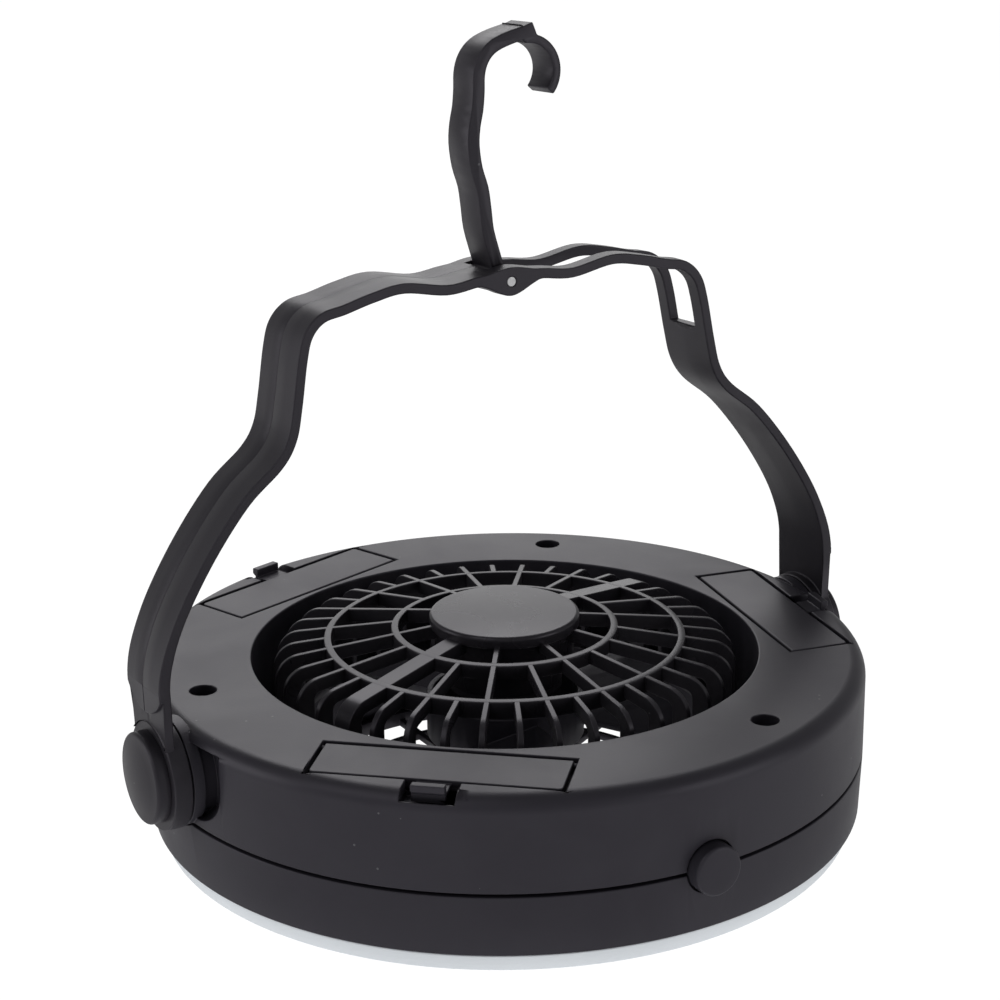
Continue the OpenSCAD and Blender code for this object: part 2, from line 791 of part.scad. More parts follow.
module battery_door() {
    z = ledge_z + barrel_r;
    translate([barrel_x, -door_half, ledge_z]) cube([door_out - barrel_x, 2 * door_half, top_t]);
    translate([barrel_x, 0, z]) rotate([90, 0, 0])
        cylinder(r = barrel_r, h = 2 * door_half, center = true);
    translate([barrel_x, 0, z]) rotate([90, 0, 0])
        cylinder(r = trunnion_r, h = 2 * (door_half + trunnion_l), center = true);
    translate([door_out - 1, -tab_w / 2, notch_z + door_gap])
        cube([tab_l + 1, tab_w, case_h + tab_rise - notch_z - door_gap]);
}

module door_front() color(plastic_color) rotate([0, 0, door_turns[0]]) battery_door();

module door_right() color(plastic_color) rotate([0, 0, door_turns[1]]) battery_door();

module door_rear() color(plastic_color) rotate([0, 0, door_turns[2]]) battery_door();

nub_l = 1.2;
nub_r = 2.7;
contact_inset = 0.3;

module battery() {
    front = bay_half - contact_t;
    translate([cell_x, front - cell_l, cell_z]) rotate([-90, 0, 0]) {
        cylinder(r = cell_r, h = cell_l - nub_l);
        cylinder(r = nub_r, h = cell_l);
    }
}

module battery_front() color(cell_color) rotate([0, 0, door_turns[0]]) battery();

module battery_right() color(cell_color) rotate([0, 0, door_turns[1]]) battery();

module battery_rear() color(cell_color) rotate([0, 0, door_turns[2]]) battery();

spring_l = 2 * bay_half - 2 * contact_t - cell_l;
spring_wire = 0.35;
spring_r = 3.6;
spring_taper = 0.5;

// A conical contact spring as three wire rings on a tapered core wire, along +Y
module contact_spring() {
    turns = 3;
    pitch = (spring_l - 2 * spring_wire) / (turns - 1);
    rotate([-90, 0, 0]) {
        for (i = [0 : turns - 1]) translate([0, 0, spring_wire + i * pitch])
            rotate_extrude() translate([spring_r - spring_taper * i, 0])
                circle(spring_wire, $fn = 16);
        for (turn = [0, 180]) rotate([0, 0, turn])
            translate([spring_r - spring_taper, 0, spring_wire])
                rotate([0, -atan(spring_taper / pitch), 0])
                    cylinder(r = spring_wire, h = spring_l - 2 * spring_wire, $fn = 16);
    }
}

module contact_plate(y) {
    translate([bay_in + contact_inset, y, bay_floor + contact_inset])
        cube([bay_out - bay_in - 2 * contact_inset, contact_t, 2 * cell_r - 1]);
}

module battery_springs() color(steel_color)
    at_doors() {
        contact_plate(-bay_half);
        translate([cell_x, -bay_half + contact_t - eps, cell_z]) contact_spring();
    }

module battery_plates() color(steel_color)
    at_doors() contact_plate(bay_half - contact_t);

// ---- Handle ----

handle_path = [
    [-3, pin_z + band_rise], [0, pin_z + band_rise], [3, pin_z + band_rise],
    [6, pin_z + band_rise], [9, pin_z + band_rise], [17, pin_z + 0.1], [28, pin_z + 1.9],
    [36, pin_z + 0.8], [grip_half - 9.2, pin_z - 1], [grip_half - 3.6, pin_z - 2.2],
    [grip_half + 0.1, pin_z - 5.6], [grip_half + 1.9, pin_z - 11.2],
    [grip_half + 3.8, pin_z - 21.6], [shoulder_x, pin_z - 28.8],
    [arm_x - 0.894 * arm_span, pin_z - 34.2], [arm_x - 0.649 * arm_span, pin_z - 41.2],
    [arm_x - 0.388 * arm_span, pin_z - 52.2], [arm_x - 0.167 * arm_span, arm_foot_z + 17],
    [arm_x - 0.046 * arm_span, arm_foot_z + 7.5], [arm_x, arm_foot_z], [arm_x, arm_foot_z - 9]
];

module arm_foot() {
    in = arm_x - handle_t / 2;
    // Foot of the arm, one step thinner on its outer face, and its round end
    translate([in, -handle_w / 2, pivot_z])
        cube([handle_t - arm_step, handle_w, arm_foot_z - pivot_z + eps]);
    // The full thickness runs a little further down and ends in an arc
    intersection() {
        translate([in, -handle_w / 2, layer_tip_z - 1])
            cube([handle_t, handle_w, arm_foot_z - layer_tip_z + 1 + eps]);
        translate([in - 1, 0, layer_tip_z + layer_r]) rotate([0, 90, 0])
            cylinder(r = layer_r, h = handle_t + 2);
    }
    pivot_rod(handle_in, handle_out, pivot_boss_r);
}

module carry_handle() color(plastic_color) leaned() {
    difference() {
        union() {
            both_sides() {
                slab(handle_w) handle_band(curve(handle_path, 4));
                arm_foot();
            }
        }
        // Slot for the folded hook, from the hook's eye over the shoulder to the window's foot
        translate([-eye_r - eye_gap, -slot_w / 2, window_z])
            cube([grip_half + 20, slot_w, pin_z]);
        y_cylinder(0, pin_z, pin_r + press_gap, handle_w + 2);
        both_sides() {
            pivot_rod(handle_in - 1, handle_out + 1, spigot_r + run_gap);
            pivot_rod(handle_in + web_t, handle_out + 2, counterbore_r);
        }
    }
}

module pivot_cap() {
    dome_r = (pow(cap_r, 2) + pow(cap_dome, 2)) / (2 * cap_dome);
    translate([handle_out, 0, pivot_z]) rotate([0, 90, 0]) rotate_extrude() difference() {
        union() {
            square([cap_r, cap_rim]);
            intersection() {
                translate([0, cap_rim + cap_dome - dome_r]) circle(dome_r);
                translate([0, cap_rim - eps]) square([cap_r, cap_dome + 1]);
            }
        }
        translate([-1, -1]) square([cap_r - cap_wall + 1, cap_rim - cap_wall + 1]);
    }
}

module pivot_cap_right() color(plastic_color) leaned() pivot_cap();

module pivot_cap_left() color(plastic_color) leaned() mirror([1, 0, 0]) pivot_cap();

module pivot_washers() color(steel_color)
    both_sides() difference() {
        pivot_rod(spigot_end, spigot_end + washer_t, washer_r);
        pivot_rod(spigot_end - 1, spigot_end + washer_t + 1, pivot_screw_r + run_gap);
    }

module pivot_screws() color(steel_color)
    both_sides() {
        head = spigot_end + washer_t;
        difference() {
            pivot_rod(head, head + pivot_screw_head_t, pivot_screw_head_r);
            translate([head + pivot_screw_head_t / 2, 0, pivot_z]) rotate([0, 90, 0])
                cross_slot(pivot_screw_head_r);
        }
        pivot_rod(flat_x + 1.2, head + eps, pivot_screw_r);
    }

// ---- Hook ----

curl_x = 9.3;
curl_z = pin_z + hook_h - 11.2;
hook_path = [
    [0.6, pin_z - 4], [0, pin_z], [-1.3, pin_z + 5], [-3.0, pin_z + 11.4],
    [-3.5, pin_z + 16.4], [-4.1, pin_z + 21.4], [-5.5, pin_z + 26.2], [-6.1, pin_z + 31.5],
    [-5.7, pin_z + 35.8], [-4.8, pin_z + 39.6], [-4.3, pin_z + 43.6],
    [-4.1, curl_z], [-3.3, curl_z + 2.8], [-1.7, curl_z + 5.1], [0.6, curl_z + 6.7],
    [4, curl_z + 7.9], [8.2, curl_z + 8.9], [12.4, curl_z + 9.9]
];

module curl() {
    intersection() {
        y_cylinder(curl_x, curl_z, curl_r + curl_t, hook_w);
        // From the open tip round to the top bar
        slab(hook_w + 2) translate([curl_x, curl_z]) polygon([[0, 0], 20 * [cos(-42), sin(-42)],
            [20, 0], [20, 20], 20 * [cos(98), sin(98)]]);
    }
}

module hanging_hook() color(plastic_color) leaned() {
    difference() {
        union() {
            slab(hook_w) band(curve(hook_path, 3), hook_t);
            y_cylinder(0, pin_z, eye_r, hook_w);
            // Corner where the straight top meets the curl
            slab(hook_w) polygon([[7.4, curl_z + 10.2], [10.5, curl_z + 11.2],
                [11.9, curl_z + 7.6], [8, curl_z + curl_r + 0.4]]);
            curl();
        }
        y_cylinder(curl_x, curl_z, curl_r, hook_w + 2);
        y_cylinder(0, pin_z, pin_r + run_gap, hook_w + 2);
    }
}

module hook_pin() color(steel_color) leaned()
    y_cylinder(0, pin_z, pin_r, handle_w - 0.4);

upper_case();
lower_case();
light_diffuser();
led_board();
leds();
intake_cage();
outlet_grille();
fan_impeller();
fan_motor();
motor_end_cap();
motor_shaft();
motor_retainer();
motor_screws();
cage_screws();
case_screws();
push_button();
switch_body();
switch_plunger();
door_front();
door_right();
door_rear();
battery_front();
battery_right();
battery_rear();
battery_springs();
battery_plates();
carry_handle();
hanging_hook();
hook_pin();
pivot_cap_left();
pivot_cap_right();
pivot_screws();
pivot_washers();
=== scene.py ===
# %% [markdown]
# # A camping fan with a ring light
# The solid model already says where everything is. This script dresses it: it loads the packed
# solids as a fixed frame, makes the visible pieces around them, gives every surface a finish,
# and says which body of the mechanism each piece rides on. Everything is in metres; sizes that
# follow the solid model are written in millimetres and multiplied by MM.

# %% Load the solid model
from math import asin, atan2, cos, pi, radians, sin, sqrt, tan

import bmesh
import bpy
from mathutils import Matrix, Vector


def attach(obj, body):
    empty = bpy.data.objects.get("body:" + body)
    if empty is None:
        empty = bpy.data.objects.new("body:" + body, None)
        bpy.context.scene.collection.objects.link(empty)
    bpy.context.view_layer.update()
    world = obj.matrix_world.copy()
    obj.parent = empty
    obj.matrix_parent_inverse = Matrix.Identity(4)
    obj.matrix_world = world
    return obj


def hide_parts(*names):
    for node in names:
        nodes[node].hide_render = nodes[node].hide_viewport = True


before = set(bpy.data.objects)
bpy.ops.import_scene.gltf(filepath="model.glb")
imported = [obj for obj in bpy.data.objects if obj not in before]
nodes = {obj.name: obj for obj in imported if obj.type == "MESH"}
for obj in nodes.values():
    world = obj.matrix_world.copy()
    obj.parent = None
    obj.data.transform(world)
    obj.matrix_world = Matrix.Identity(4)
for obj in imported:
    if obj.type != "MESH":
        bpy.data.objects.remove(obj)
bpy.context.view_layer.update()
MM = 0.001

# %% [markdown]
# ## Camera
# A product picture of a small object is taken from close by, so the lens and the distance matter
# as much as the direction. The camera is placed by its azimuth, height angle and distance from
# a point on the object's axis. A hand-held camera is never quite level: the last small roll is
# part of the view too. A matrix built from three axes is easier to check than three Euler angles.

# %% Camera
LOOK_AT = Vector((0, 0, 0.07979))
VIEW_TURN, VIEW_RISE, VIEW_ROLL = radians(-30.47), radians(18.081), radians(-0.65)
VIEW_DISTANCE = 0.56327
LENS, FILM_WIDTH, SIDE_SHIFT, NEAREST = 84.095, 36, -0.00302, 0.02

back = Vector((sin(VIEW_TURN) * cos(VIEW_RISE), -cos(VIEW_TURN) * cos(VIEW_RISE), sin(VIEW_RISE)))
level = Vector((cos(VIEW_TURN), sin(VIEW_TURN), 0))
upward = back.cross(level)
right = level * cos(VIEW_ROLL) + upward * sin(VIEW_ROLL)
up = back.cross(right)

camera_data = bpy.data.cameras.new("view")
camera_data.lens, camera_data.sensor_width = LENS, FILM_WIDTH
camera_data.shift_x = SIDE_SHIFT
camera_data.clip_start = NEAREST
camera = bpy.data.objects.new("view", camera_data)
camera.matrix_world = Matrix.LocRotScale(
    LOOK_AT + back * VIEW_DISTANCE, Matrix((right, up, back)).transposed(), None)
bpy.context.scene.collection.objects.link(camera)
bpy.context.scene.camera = camera
bpy.context.scene.view_settings.view_transform = "Standard"
print("camera at", [round(v, 4) for v in camera.matrix_world.translation])

# %% [markdown]
# ## Small helpers for node trees
# A node tree in code is a list of nodes and their sockets. `add` makes one node and fills its
# sockets: a number is set on the socket, another socket is linked. The same helper serves
# shaders and geometry.

# %% Node helper
def add(tree, kind, sockets=None, **settings):
    node = tree.nodes.new(kind)
    for key, value in settings.items():
        setattr(node, key, value)
    for key, value in (sockets or {}).items():
        socket = node.inputs[key]
        if isinstance(value, bpy.types.NodeSocket):
            tree.links.new(value, socket)
        else:
            socket.default_value = value
    return node


def new_group(name, kind, inputs, outputs):
    tree = bpy.data.node_groups.new(name, kind)
    for label, socket_type, value in inputs:
        socket = tree.interface.new_socket(label, in_out="INPUT", socket_type=socket_type)
        if value is not None:
            socket.default_value = value
    for label, socket_type in outputs:
        tree.interface.new_socket(label, in_out="OUTPUT", socket_type=socket_type)
    return tree, tree.nodes.new("NodeGroupInput"), tree.nodes.new("NodeGroupOutput")


# %% [markdown]
# ## Stage
# The object stands on a plain pale floor in a white studio. The floor is mostly its own light,
# so it reads as white and lights the walls of the object from below, and partly a matt surface,
# so the object's soft shadow stays. Clear plastic sees the same white room. Glossy rays see it
# at about a quarter of its strength, as in a studio where black flags stand round a black
# object, so metal and gloss show a dim room rather than a white one. Five soft boxes light the
# object: a high and a low one behind, which draw the top faces and the edges, a low and a high
# one on the left and a low one at the front right.

# %% Floor
FLOOR_SHARE, GLOSSY_SHARE = 0.9, 0.24
FLOOR_GREY, FLOOR_GLOW = 0.82, 1.13
FLOOR_SIZE, FLOOR_DROP = 6.0, 0.00005

floor_material = bpy.data.materials.new("studio floor")
floor_material.use_nodes = True
tree = floor_material.node_tree
tree.nodes.clear()
path = add(tree, "ShaderNodeLightPath")
share = add(tree, "ShaderNodeMath", {0: path.outputs["Is Glossy Ray"],
                                     1: GLOSSY_SHARE - FLOOR_SHARE, 2: FLOOR_SHARE},
            operation="MULTIPLY_ADD")
matt = add(tree, "ShaderNodeBsdfDiffuse", {"Color": (FLOOR_GREY, FLOOR_GREY, FLOOR_GREY, 1)})
own_light = add(tree, "ShaderNodeEmission", {"Color": (1, 1, 1, 1), "Strength": FLOOR_GLOW})
mixed = add(tree, "ShaderNodeMixShader", {0: share.outputs[0], 1: matt.outputs[0],
                                          2: own_light.outputs[0]})
add(tree, "ShaderNodeOutputMaterial", {"Surface": mixed.outputs[0]})

floor_mesh = bpy.data.meshes.new("floor")
corners = [(x * FLOOR_SIZE / 2, y * FLOOR_SIZE / 2, -FLOOR_DROP)
           for x, y in ((-1, -1), (1, -1), (1, 1), (-1, 1))]
floor_mesh.from_pydata(corners, [], [(0, 1, 2, 3)])
floor_mesh.materials.append(floor_material)
floor = bpy.data.objects.new("floor", floor_mesh)
bpy.context.scene.collection.objects.link(floor)
print("floor", FLOOR_SIZE, "m wide")

# %% Room light and soft boxes
ROOM_LIGHT, GLOSSY_ROOM = 0.02, 0.27
LAMP_AIM, LAMP_DISTANCE = Vector((0, 0, 0.05)), 1.1
HIGH_BOX, LOW_BOX = (0.7, 0.7), (0.6, 0.5)

world = bpy.data.worlds.new("studio")
bpy.context.scene.world = world
world.use_nodes = True
tree = world.node_tree
tree.nodes.clear()
path = add(tree, "ShaderNodeLightPath")
seen = add(tree, "ShaderNodeMath", {0: path.outputs["Is Camera Ray"],
                                    1: path.outputs["Is Transmission Ray"]},
           operation="MAXIMUM")
level = add(tree, "ShaderNodeMath", {0: path.outputs["Is Glossy Ray"],
                                     1: GLOSSY_ROOM - ROOM_LIGHT, 2: ROOM_LIGHT},
            operation="MULTIPLY_ADD")
level = add(tree, "ShaderNodeMath", {0: seen.outputs[0], 1: level.outputs[0]},
            operation="MAXIMUM")
room = add(tree, "ShaderNodeBackground", {"Color": (1, 1, 1, 1), "Strength": level.outputs[0]})
add(tree, "ShaderNodeOutputWorld", {"Surface": room.outputs[0]})


def soft_box(name, azimuth, rise, size, power):
    """An area lamp at an azimuth and height angle, aimed at the middle of the object."""
    lamp = bpy.data.lights.new(name, "AREA")
    lamp.shape = "RECTANGLE"
    lamp.size, lamp.size_y = size
    lamp.energy = power
    holder = bpy.data.objects.new(name, lamp)
    a, e = radians(azimuth), radians(rise)
    away = Vector((sin(a) * cos(e), -cos(a) * cos(e), sin(e)))
    holder.location = LAMP_AIM + away * LAMP_DISTANCE
    holder.rotation_euler = away.to_track_quat("Z", "Y").to_euler()
    holder.visible_camera = False
    bpy.context.scene.collection.objects.link(holder)


soft_box("box_behind_high", 155, 45, HIGH_BOX, 3.7)
soft_box("box_behind_low", 155, 12, LOW_BOX, 0.8)
soft_box("box_left", -115, 12, LOW_BOX, 1.5)
soft_box("box_left_high", -75, 45, HIGH_BOX, 1.2)
soft_box("box_right", 35, 12, LOW_BOX, 1.2)

# %% [markdown]
# ## Finishes
# Nearly the whole object is black moulded plastic with a fine spark-eroded grain. What makes
# it look real is small: the grain breaks up the highlights, the gloss varies a little where it
# was handled, convex edges are painted slightly paler, partly as rubbing wear and partly as a
# painted highlight where the rounds catch the light, and a few specks of dust lie on it. Each of
# these is a shader group with named inputs, built once and placed in every material with its own
# values. A group puts out only masks and heights; the shader stays in the material.

# %% Grain, handling, painted edge highlight with rubbing wear, and dust
def object_coordinates(tree):
    return add(tree, "ShaderNodeTexCoord").outputs["Object"]


grain_group, inside, outside = new_group(
    "Moulded grain", "ShaderNodeTree",
    [("Fine", "NodeSocketFloat", 2600.0), ("Coarse", "NodeSocketFloat", 700.0)],
    [("Height", "NodeSocketFloat")])
place_in = object_coordinates(grain_group)
fine = add(grain_group, "ShaderNodeTexNoise",
           {"Vector": place_in, "Scale": inside.outputs["Fine"], "Detail": 2.0, "Roughness": 0.6})
coarse = add(grain_group, "ShaderNodeTexNoise",
             {"Vector": place_in, "Scale": inside.outputs["Coarse"], "Detail": 1.0})
both = add(grain_group, "ShaderNodeMath", {0: coarse.outputs[0], 1: 0.35, 2: fine.outputs[0]},
           operation="MULTIPLY_ADD")
grain_group.links.new(both.outputs[0], outside.inputs["Height"])

handling_group, inside, outside = new_group(
    "Handling", "ShaderNodeTree", [("Scale", "NodeSocketFloat", 30.0)],
    [("Patches", "NodeSocketFloat")])
clouds = add(handling_group, "ShaderNodeTexNoise",
             {"Vector": object_coordinates(handling_group), "Scale": inside.outputs["Scale"],
              "Detail": 4.0, "Roughness": 0.55, "Distortion": 0.4})
spread = add(handling_group, "ShaderNodeMapRange",
             {"Value": clouds.outputs[0], "From Min": 0.35, "From Max": 0.65})
handling_group.links.new(spread.outputs[0], outside.inputs["Patches"])

# Paler convex edges, found by Pointiness: a painted highlight on the rounds, partly rubbing wear.
edge_highlight_group, inside, outside = new_group(
    "Rubbed edges", "ShaderNodeTree",
    [("Start", "NodeSocketFloat", 0.52), ("Full", "NodeSocketFloat", 0.6)],
    [("Rub", "NodeSocketFloat")])
convex = add(edge_highlight_group, "ShaderNodeNewGeometry")
edge = add(edge_highlight_group, "ShaderNodeMapRange",
           {"Value": convex.outputs["Pointiness"], "From Min": inside.outputs["Start"],
            "From Max": inside.outputs["Full"]})
patchy = add(edge_highlight_group, "ShaderNodeTexNoise",
             {"Vector": object_coordinates(edge_highlight_group), "Scale": 140.0, "Detail": 3.0})
lit_and_worn = add(edge_highlight_group, "ShaderNodeMath", {0: edge.outputs[0], 1: patchy.outputs[0]},
           operation="MULTIPLY")
edge_highlight_group.links.new(lit_and_worn.outputs[0], outside.inputs["Rub"])

dust_group, inside, outside = new_group(
    "Dust specks", "ShaderNodeTree",
    [("Scale", "NodeSocketFloat", 180.0), ("Size", "NodeSocketFloat", 0.05)],
    [("Specks", "NodeSocketFloat")])
place_in = object_coordinates(dust_group)
cells = add(dust_group, "ShaderNodeTexVoronoi",
            {"Vector": place_in, "Scale": inside.outputs["Scale"], "Randomness": 1.0})
near = add(dust_group, "ShaderNodeMath", {0: cells.outputs["Distance"],
                                          1: inside.outputs["Size"]}, operation="LESS_THAN")
where = add(dust_group, "ShaderNodeTexNoise", {"Vector": place_in, "Scale": 22.0, "Detail": 2.0})
some = add(dust_group, "ShaderNodeMath", {0: where.outputs[0], 1: 0.53},
           operation="GREATER_THAN")
specks = add(dust_group, "ShaderNodeMath", {0: near.outputs[0], 1: some.outputs[0]},
             operation="MULTIPLY")
dust_group.links.new(specks.outputs[0], outside.inputs["Specks"])
print("shader groups:", [g.name for g in bpy.data.node_groups])

# %% [markdown]
# ## Moulded plastic materials
# One function makes each moulded plastic: two near shades of the colour, mixed by the handling
# patches, a roughness that follows them, and the grain as a shallow bump. The values that are
# the same all over a surface, such as the index of refraction, sit on the shader's own sockets.

# %% Moulded plastics
COARSER, GLOSS_CHANGE, FAINT, GRAIN_DEPTH = 3.7, 0.1, 0.5, 0.00006


def placed(tree, group, **values):
    node = add(tree, "ShaderNodeGroup", node_tree=group)
    for key, value in values.items():
        node.inputs[key].default_value = value
    return node


def mix_colour(tree, factor, first, second):
    node = add(tree, "ShaderNodeMix", {"Factor": factor}, data_type="RGBA")
    for index, value in ((6, first), (7, second)):
        if isinstance(value, bpy.types.NodeSocket):
            tree.links.new(value, node.inputs[index])
        else:
            node.inputs[index].default_value = (*value, 1)
    return node.outputs[2]


def new_material(name, colour, metallic=0.0, ior=1.49):
    """A material with an empty Principled shader; returns material, tree and shader."""
    material = bpy.data.materials.new(name)
    material.use_nodes = True
    material.diffuse_color = (*colour, 1)
    tree = material.node_tree
    shader = tree.nodes["Principled BSDF"]
    shader.inputs["Base Color"].default_value = (*colour, 1)
    shader.inputs["Metallic"].default_value = metallic
    shader.inputs["IOR"].default_value = ior
    return material, tree, shader


# The paler edge colour is a painted highlight on the rounds, partly rubbing wear.
def moulded_plastic(name, dark, light, rough, fine=2600.0, bump=0.25,
                    highlight_and_rub_colour=(0.09, 0.086, 0.098), dusty=(0.2, 0.2, 0.21),
                    sheen=(0.94, 0.89, 1.0)):
    material, tree, shader = new_material(name, dark, ior=1.44)
    shader.inputs["Specular Tint"].default_value = (*sheen, 1)
    grain = placed(tree, grain_group, Fine=fine, Coarse=fine / COARSER)
    handling = placed(tree, handling_group)
    highlight_and_rub = placed(tree, edge_highlight_group)
    dust = placed(tree, dust_group)
    colour = mix_colour(tree, handling.outputs["Patches"], dark, light)
    # Painted edge highlight: convex edges mixed towards the paler colour, partly as rubbing wear.
    faint = add(tree, "ShaderNodeMath", {0: highlight_and_rub.outputs["Rub"], 1: FAINT}, operation="MULTIPLY")
    colour = mix_colour(tree, faint.outputs[0], colour, highlight_and_rub_colour)
    faint = add(tree, "ShaderNodeMath", {0: dust.outputs["Specks"], 1: FAINT},
                operation="MULTIPLY")
    colour = mix_colour(tree, faint.outputs[0], colour, dusty)
    tree.links.new(colour, shader.inputs["Base Color"])
    gloss = add(tree, "ShaderNodeMapRange",
                {"Value": handling.outputs["Patches"], "To Min": rough - GLOSS_CHANGE / 2,
                 "To Max": rough + GLOSS_CHANGE / 2})
    tree.links.new(gloss.outputs[0], shader.inputs["Roughness"])
    relief = add(tree, "ShaderNodeBump", {"Height": grain.outputs["Height"], "Strength": bump,
                                          "Distance": GRAIN_DEPTH})
    tree.links.new(relief.outputs[0], shader.inputs["Normal"])
    return material


case_black = moulded_plastic("case black", (0.030, 0.028, 0.036), (0.036, 0.034, 0.043), 0.40)
handle_black = moulded_plastic("handle black", (0.023, 0.021, 0.026), (0.029, 0.027, 0.033),
                               0.38, fine=3000.0, bump=0.2)
cage_black = moulded_plastic("cage black", (0.024, 0.022, 0.027), (0.029, 0.027, 0.032), 0.30,
                             fine=3200.0, bump=0.12)
frosted = moulded_plastic("frosted lens", (0.78, 0.82, 0.86), (0.82, 0.86, 0.90), 0.35,
                          fine=1800.0, bump=0.1, highlight_and_rub_colour=(0.8, 0.83, 0.86),
                          dusty=(0.5, 0.5, 0.52), sheen=(1, 1, 1))
board_white = moulded_plastic("board white", (0.72, 0.73, 0.70), (0.76, 0.77, 0.74), 0.45,
                              highlight_and_rub_colour=(0.8, 0.8, 0.78), dusty=(0.5, 0.5, 0.5))
nylon = moulded_plastic("white nylon", (0.68, 0.67, 0.62), (0.72, 0.71, 0.66), 0.5,
                        highlight_and_rub_colour=(0.8, 0.79, 0.75), dusty=(0.5, 0.5, 0.5))
switch_grey = moulded_plastic("switch grey", (0.045, 0.046, 0.05), (0.052, 0.053, 0.058), 0.45)
print("plastics:", [m.name for m in (case_black, handle_black, cage_black, frosted, board_white,
                                     nylon, switch_grey)])

# %% [markdown]
# ## Metal, cells and light emitters
# Screws, springs and the hook's pin are plated steel: metallic, with one fine noise that varies
# both the gloss and the shade. The cells wear a plain dark jacket. The light emitters are epoxy
# domes over a pale yellow phosphor, which a glossy pale yellow stands for here.

# %% Metals, jacket and emitters
def plated_steel(name, colour, rough):
    material, tree, shader = new_material(name, colour, metallic=1.0)
    marks = add(tree, "ShaderNodeTexNoise",
                {"Vector": object_coordinates(tree), "Scale": 900.0, "Detail": 3.0})
    gloss = add(tree, "ShaderNodeMapRange", {"Value": marks.outputs[0], "To Min": rough - 0.08,
                                             "To Max": rough + 0.12})
    tree.links.new(gloss.outputs[0], shader.inputs["Roughness"])
    shade = add(tree, "ShaderNodeMapRange", {"Value": marks.outputs[0], "From Min": 0.3,
                                             "From Max": 0.7})
    darker = tuple(0.8 * c for c in colour)
    tree.links.new(mix_colour(tree, shade.outputs[0], darker, colour),
                   shader.inputs["Base Color"])
    return material


steel = plated_steel("plated steel", (0.62, 0.62, 0.63), 0.3)
dark_screw = plated_steel("black zinc screw", (0.09, 0.09, 0.095), 0.35)
jacket = moulded_plastic("cell jacket", (0.07, 0.075, 0.09), (0.08, 0.085, 0.1), 0.25, bump=0.03)
emitter, emitter_tree, emitter_shader = new_material("emitter dome", (0.8, 0.78, 0.55))
emitter_shader.inputs["Roughness"].default_value = 0.12
depth = add(emitter_tree, "ShaderNodeTexNoise",
            {"Vector": object_coordinates(emitter_tree), "Scale": 400.0})
emitter_tree.links.new(mix_colour(emitter_tree, depth.outputs[0], (0.82, 0.8, 0.6),
                                  (0.78, 0.74, 0.42)), emitter_shader.inputs["Base Color"])
print("materials:", len(bpy.data.materials))

# %% [markdown]
# ## Every solid gets its finish
# Solids whose plain shape is right only need a material, assigned to their own slots. The ones
# that show are copied or rebuilt later with the rounded edges that a mould gives.

# %% Finishes on the solids
FINISH = {
    case_black: ["upper_case", "lower_case", "door_front", "door_right", "door_rear",
                 "push_button", "fan_impeller"],
    handle_black: ["carry_handle", "hanging_hook", "pivot_cap_left", "pivot_cap_right"],
    cage_black: ["intake_cage", "outlet_grille", "motor_retainer"],
    frosted: ["light_diffuser"],
    board_white: ["led_board"],
    emitter: ["leds"],
    steel: ["fan_motor", "motor_shaft", "motor_screws", "battery_springs", "battery_plates",
            "hook_pin", "pivot_screws", "pivot_washers"],
    dark_screw: ["cage_screws", "case_screws"],
    nylon: ["motor_end_cap"],
    switch_grey: ["switch_body", "switch_plunger"],
    jacket: ["battery_front", "battery_right", "battery_rear"],
}


def wear(piece, material):
    piece.data.materials.clear()
    piece.data.materials.append(material)


for material, names in FINISH.items():
    for name in names:
        wear(nodes[name], material)
print("finished solids:", sum(len(names) for names in FINISH.values()), "of", len(nodes))

# %% [markdown]
# ## Edges as a mould leaves them
# A solid model has knife edges. A moulded part never has: every edge is broken by a few tenths
# of a millimetre, and that thin round is what catches the light. Where the solid's shape is
# right, the quickest honest way is a copy of its mesh: merge the loose triangles, weld slivers,
# dissolve the flat ones into whole faces and let a Bevel modifier round what is sharper than
# an angle. Slivers have to go first, because a bevel wider than an edge folds over itself.

# %% Softened copies
TINY, FLAT_ANGLE = 1e-6, 0.4


def settle(piece):
    """Replace a piece's modifiers by their result."""
    graph = bpy.context.evaluated_depsgraph_get()
    mesh = bpy.data.meshes.new_from_object(piece.evaluated_get(graph))
    piece.modifiers.clear()
    piece.data = mesh
    return piece


def soften(piece, width, angle=35):
    """Round the edges that are sharper than the angle, by a width in millimetres."""
    rounding = piece.modifiers.new("edge rounding", "BEVEL")
    rounding.width = width * MM
    rounding.segments = 2
    rounding.limit_method = "ANGLE"
    rounding.angle_limit = radians(angle)
    rounding.use_clamp_overlap = False
    rounding.harden_normals = True
    piece.data.shade_smooth()
    settle(piece)
    return piece


def object_from(name, bm, material):
    mesh = bpy.data.meshes.new(name)
    bm.to_mesh(mesh)
    bm.free()
    mesh.materials.append(material)
    piece = bpy.data.objects.new(name, mesh)
    bpy.context.scene.collection.objects.link(piece)
    return piece


def tidied(bm, weld):
    bmesh.ops.remove_doubles(bm, verts=bm.verts, dist=weld * MM)
    bmesh.ops.dissolve_degenerate(bm, edges=bm.edges, dist=TINY)
    bmesh.ops.dissolve_limit(bm, angle_limit=radians(FLAT_ANGLE), verts=bm.verts, edges=bm.edges)
    return bm


def solid_copy(node, name, material, weld):
    bm = bmesh.new()
    bm.from_mesh(nodes[node].data)
    return object_from(name, tidied(bm, weld), material)


def open_edges(mesh):
    bm = bmesh.new()
    bm.from_mesh(mesh)
    found = sum(not edge.is_manifold for edge in bm.edges)
    bm.free()
    return found


def hand_over(piece, body, slot, *replaced):
    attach(piece, body)
    if replaced:
        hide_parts(*replaced)
    print(piece.name, "rides on", body, "| faces", len(piece.data.polygons), "| open edges",
          open_edges(piece.data))


print("helpers for softened copies ready")

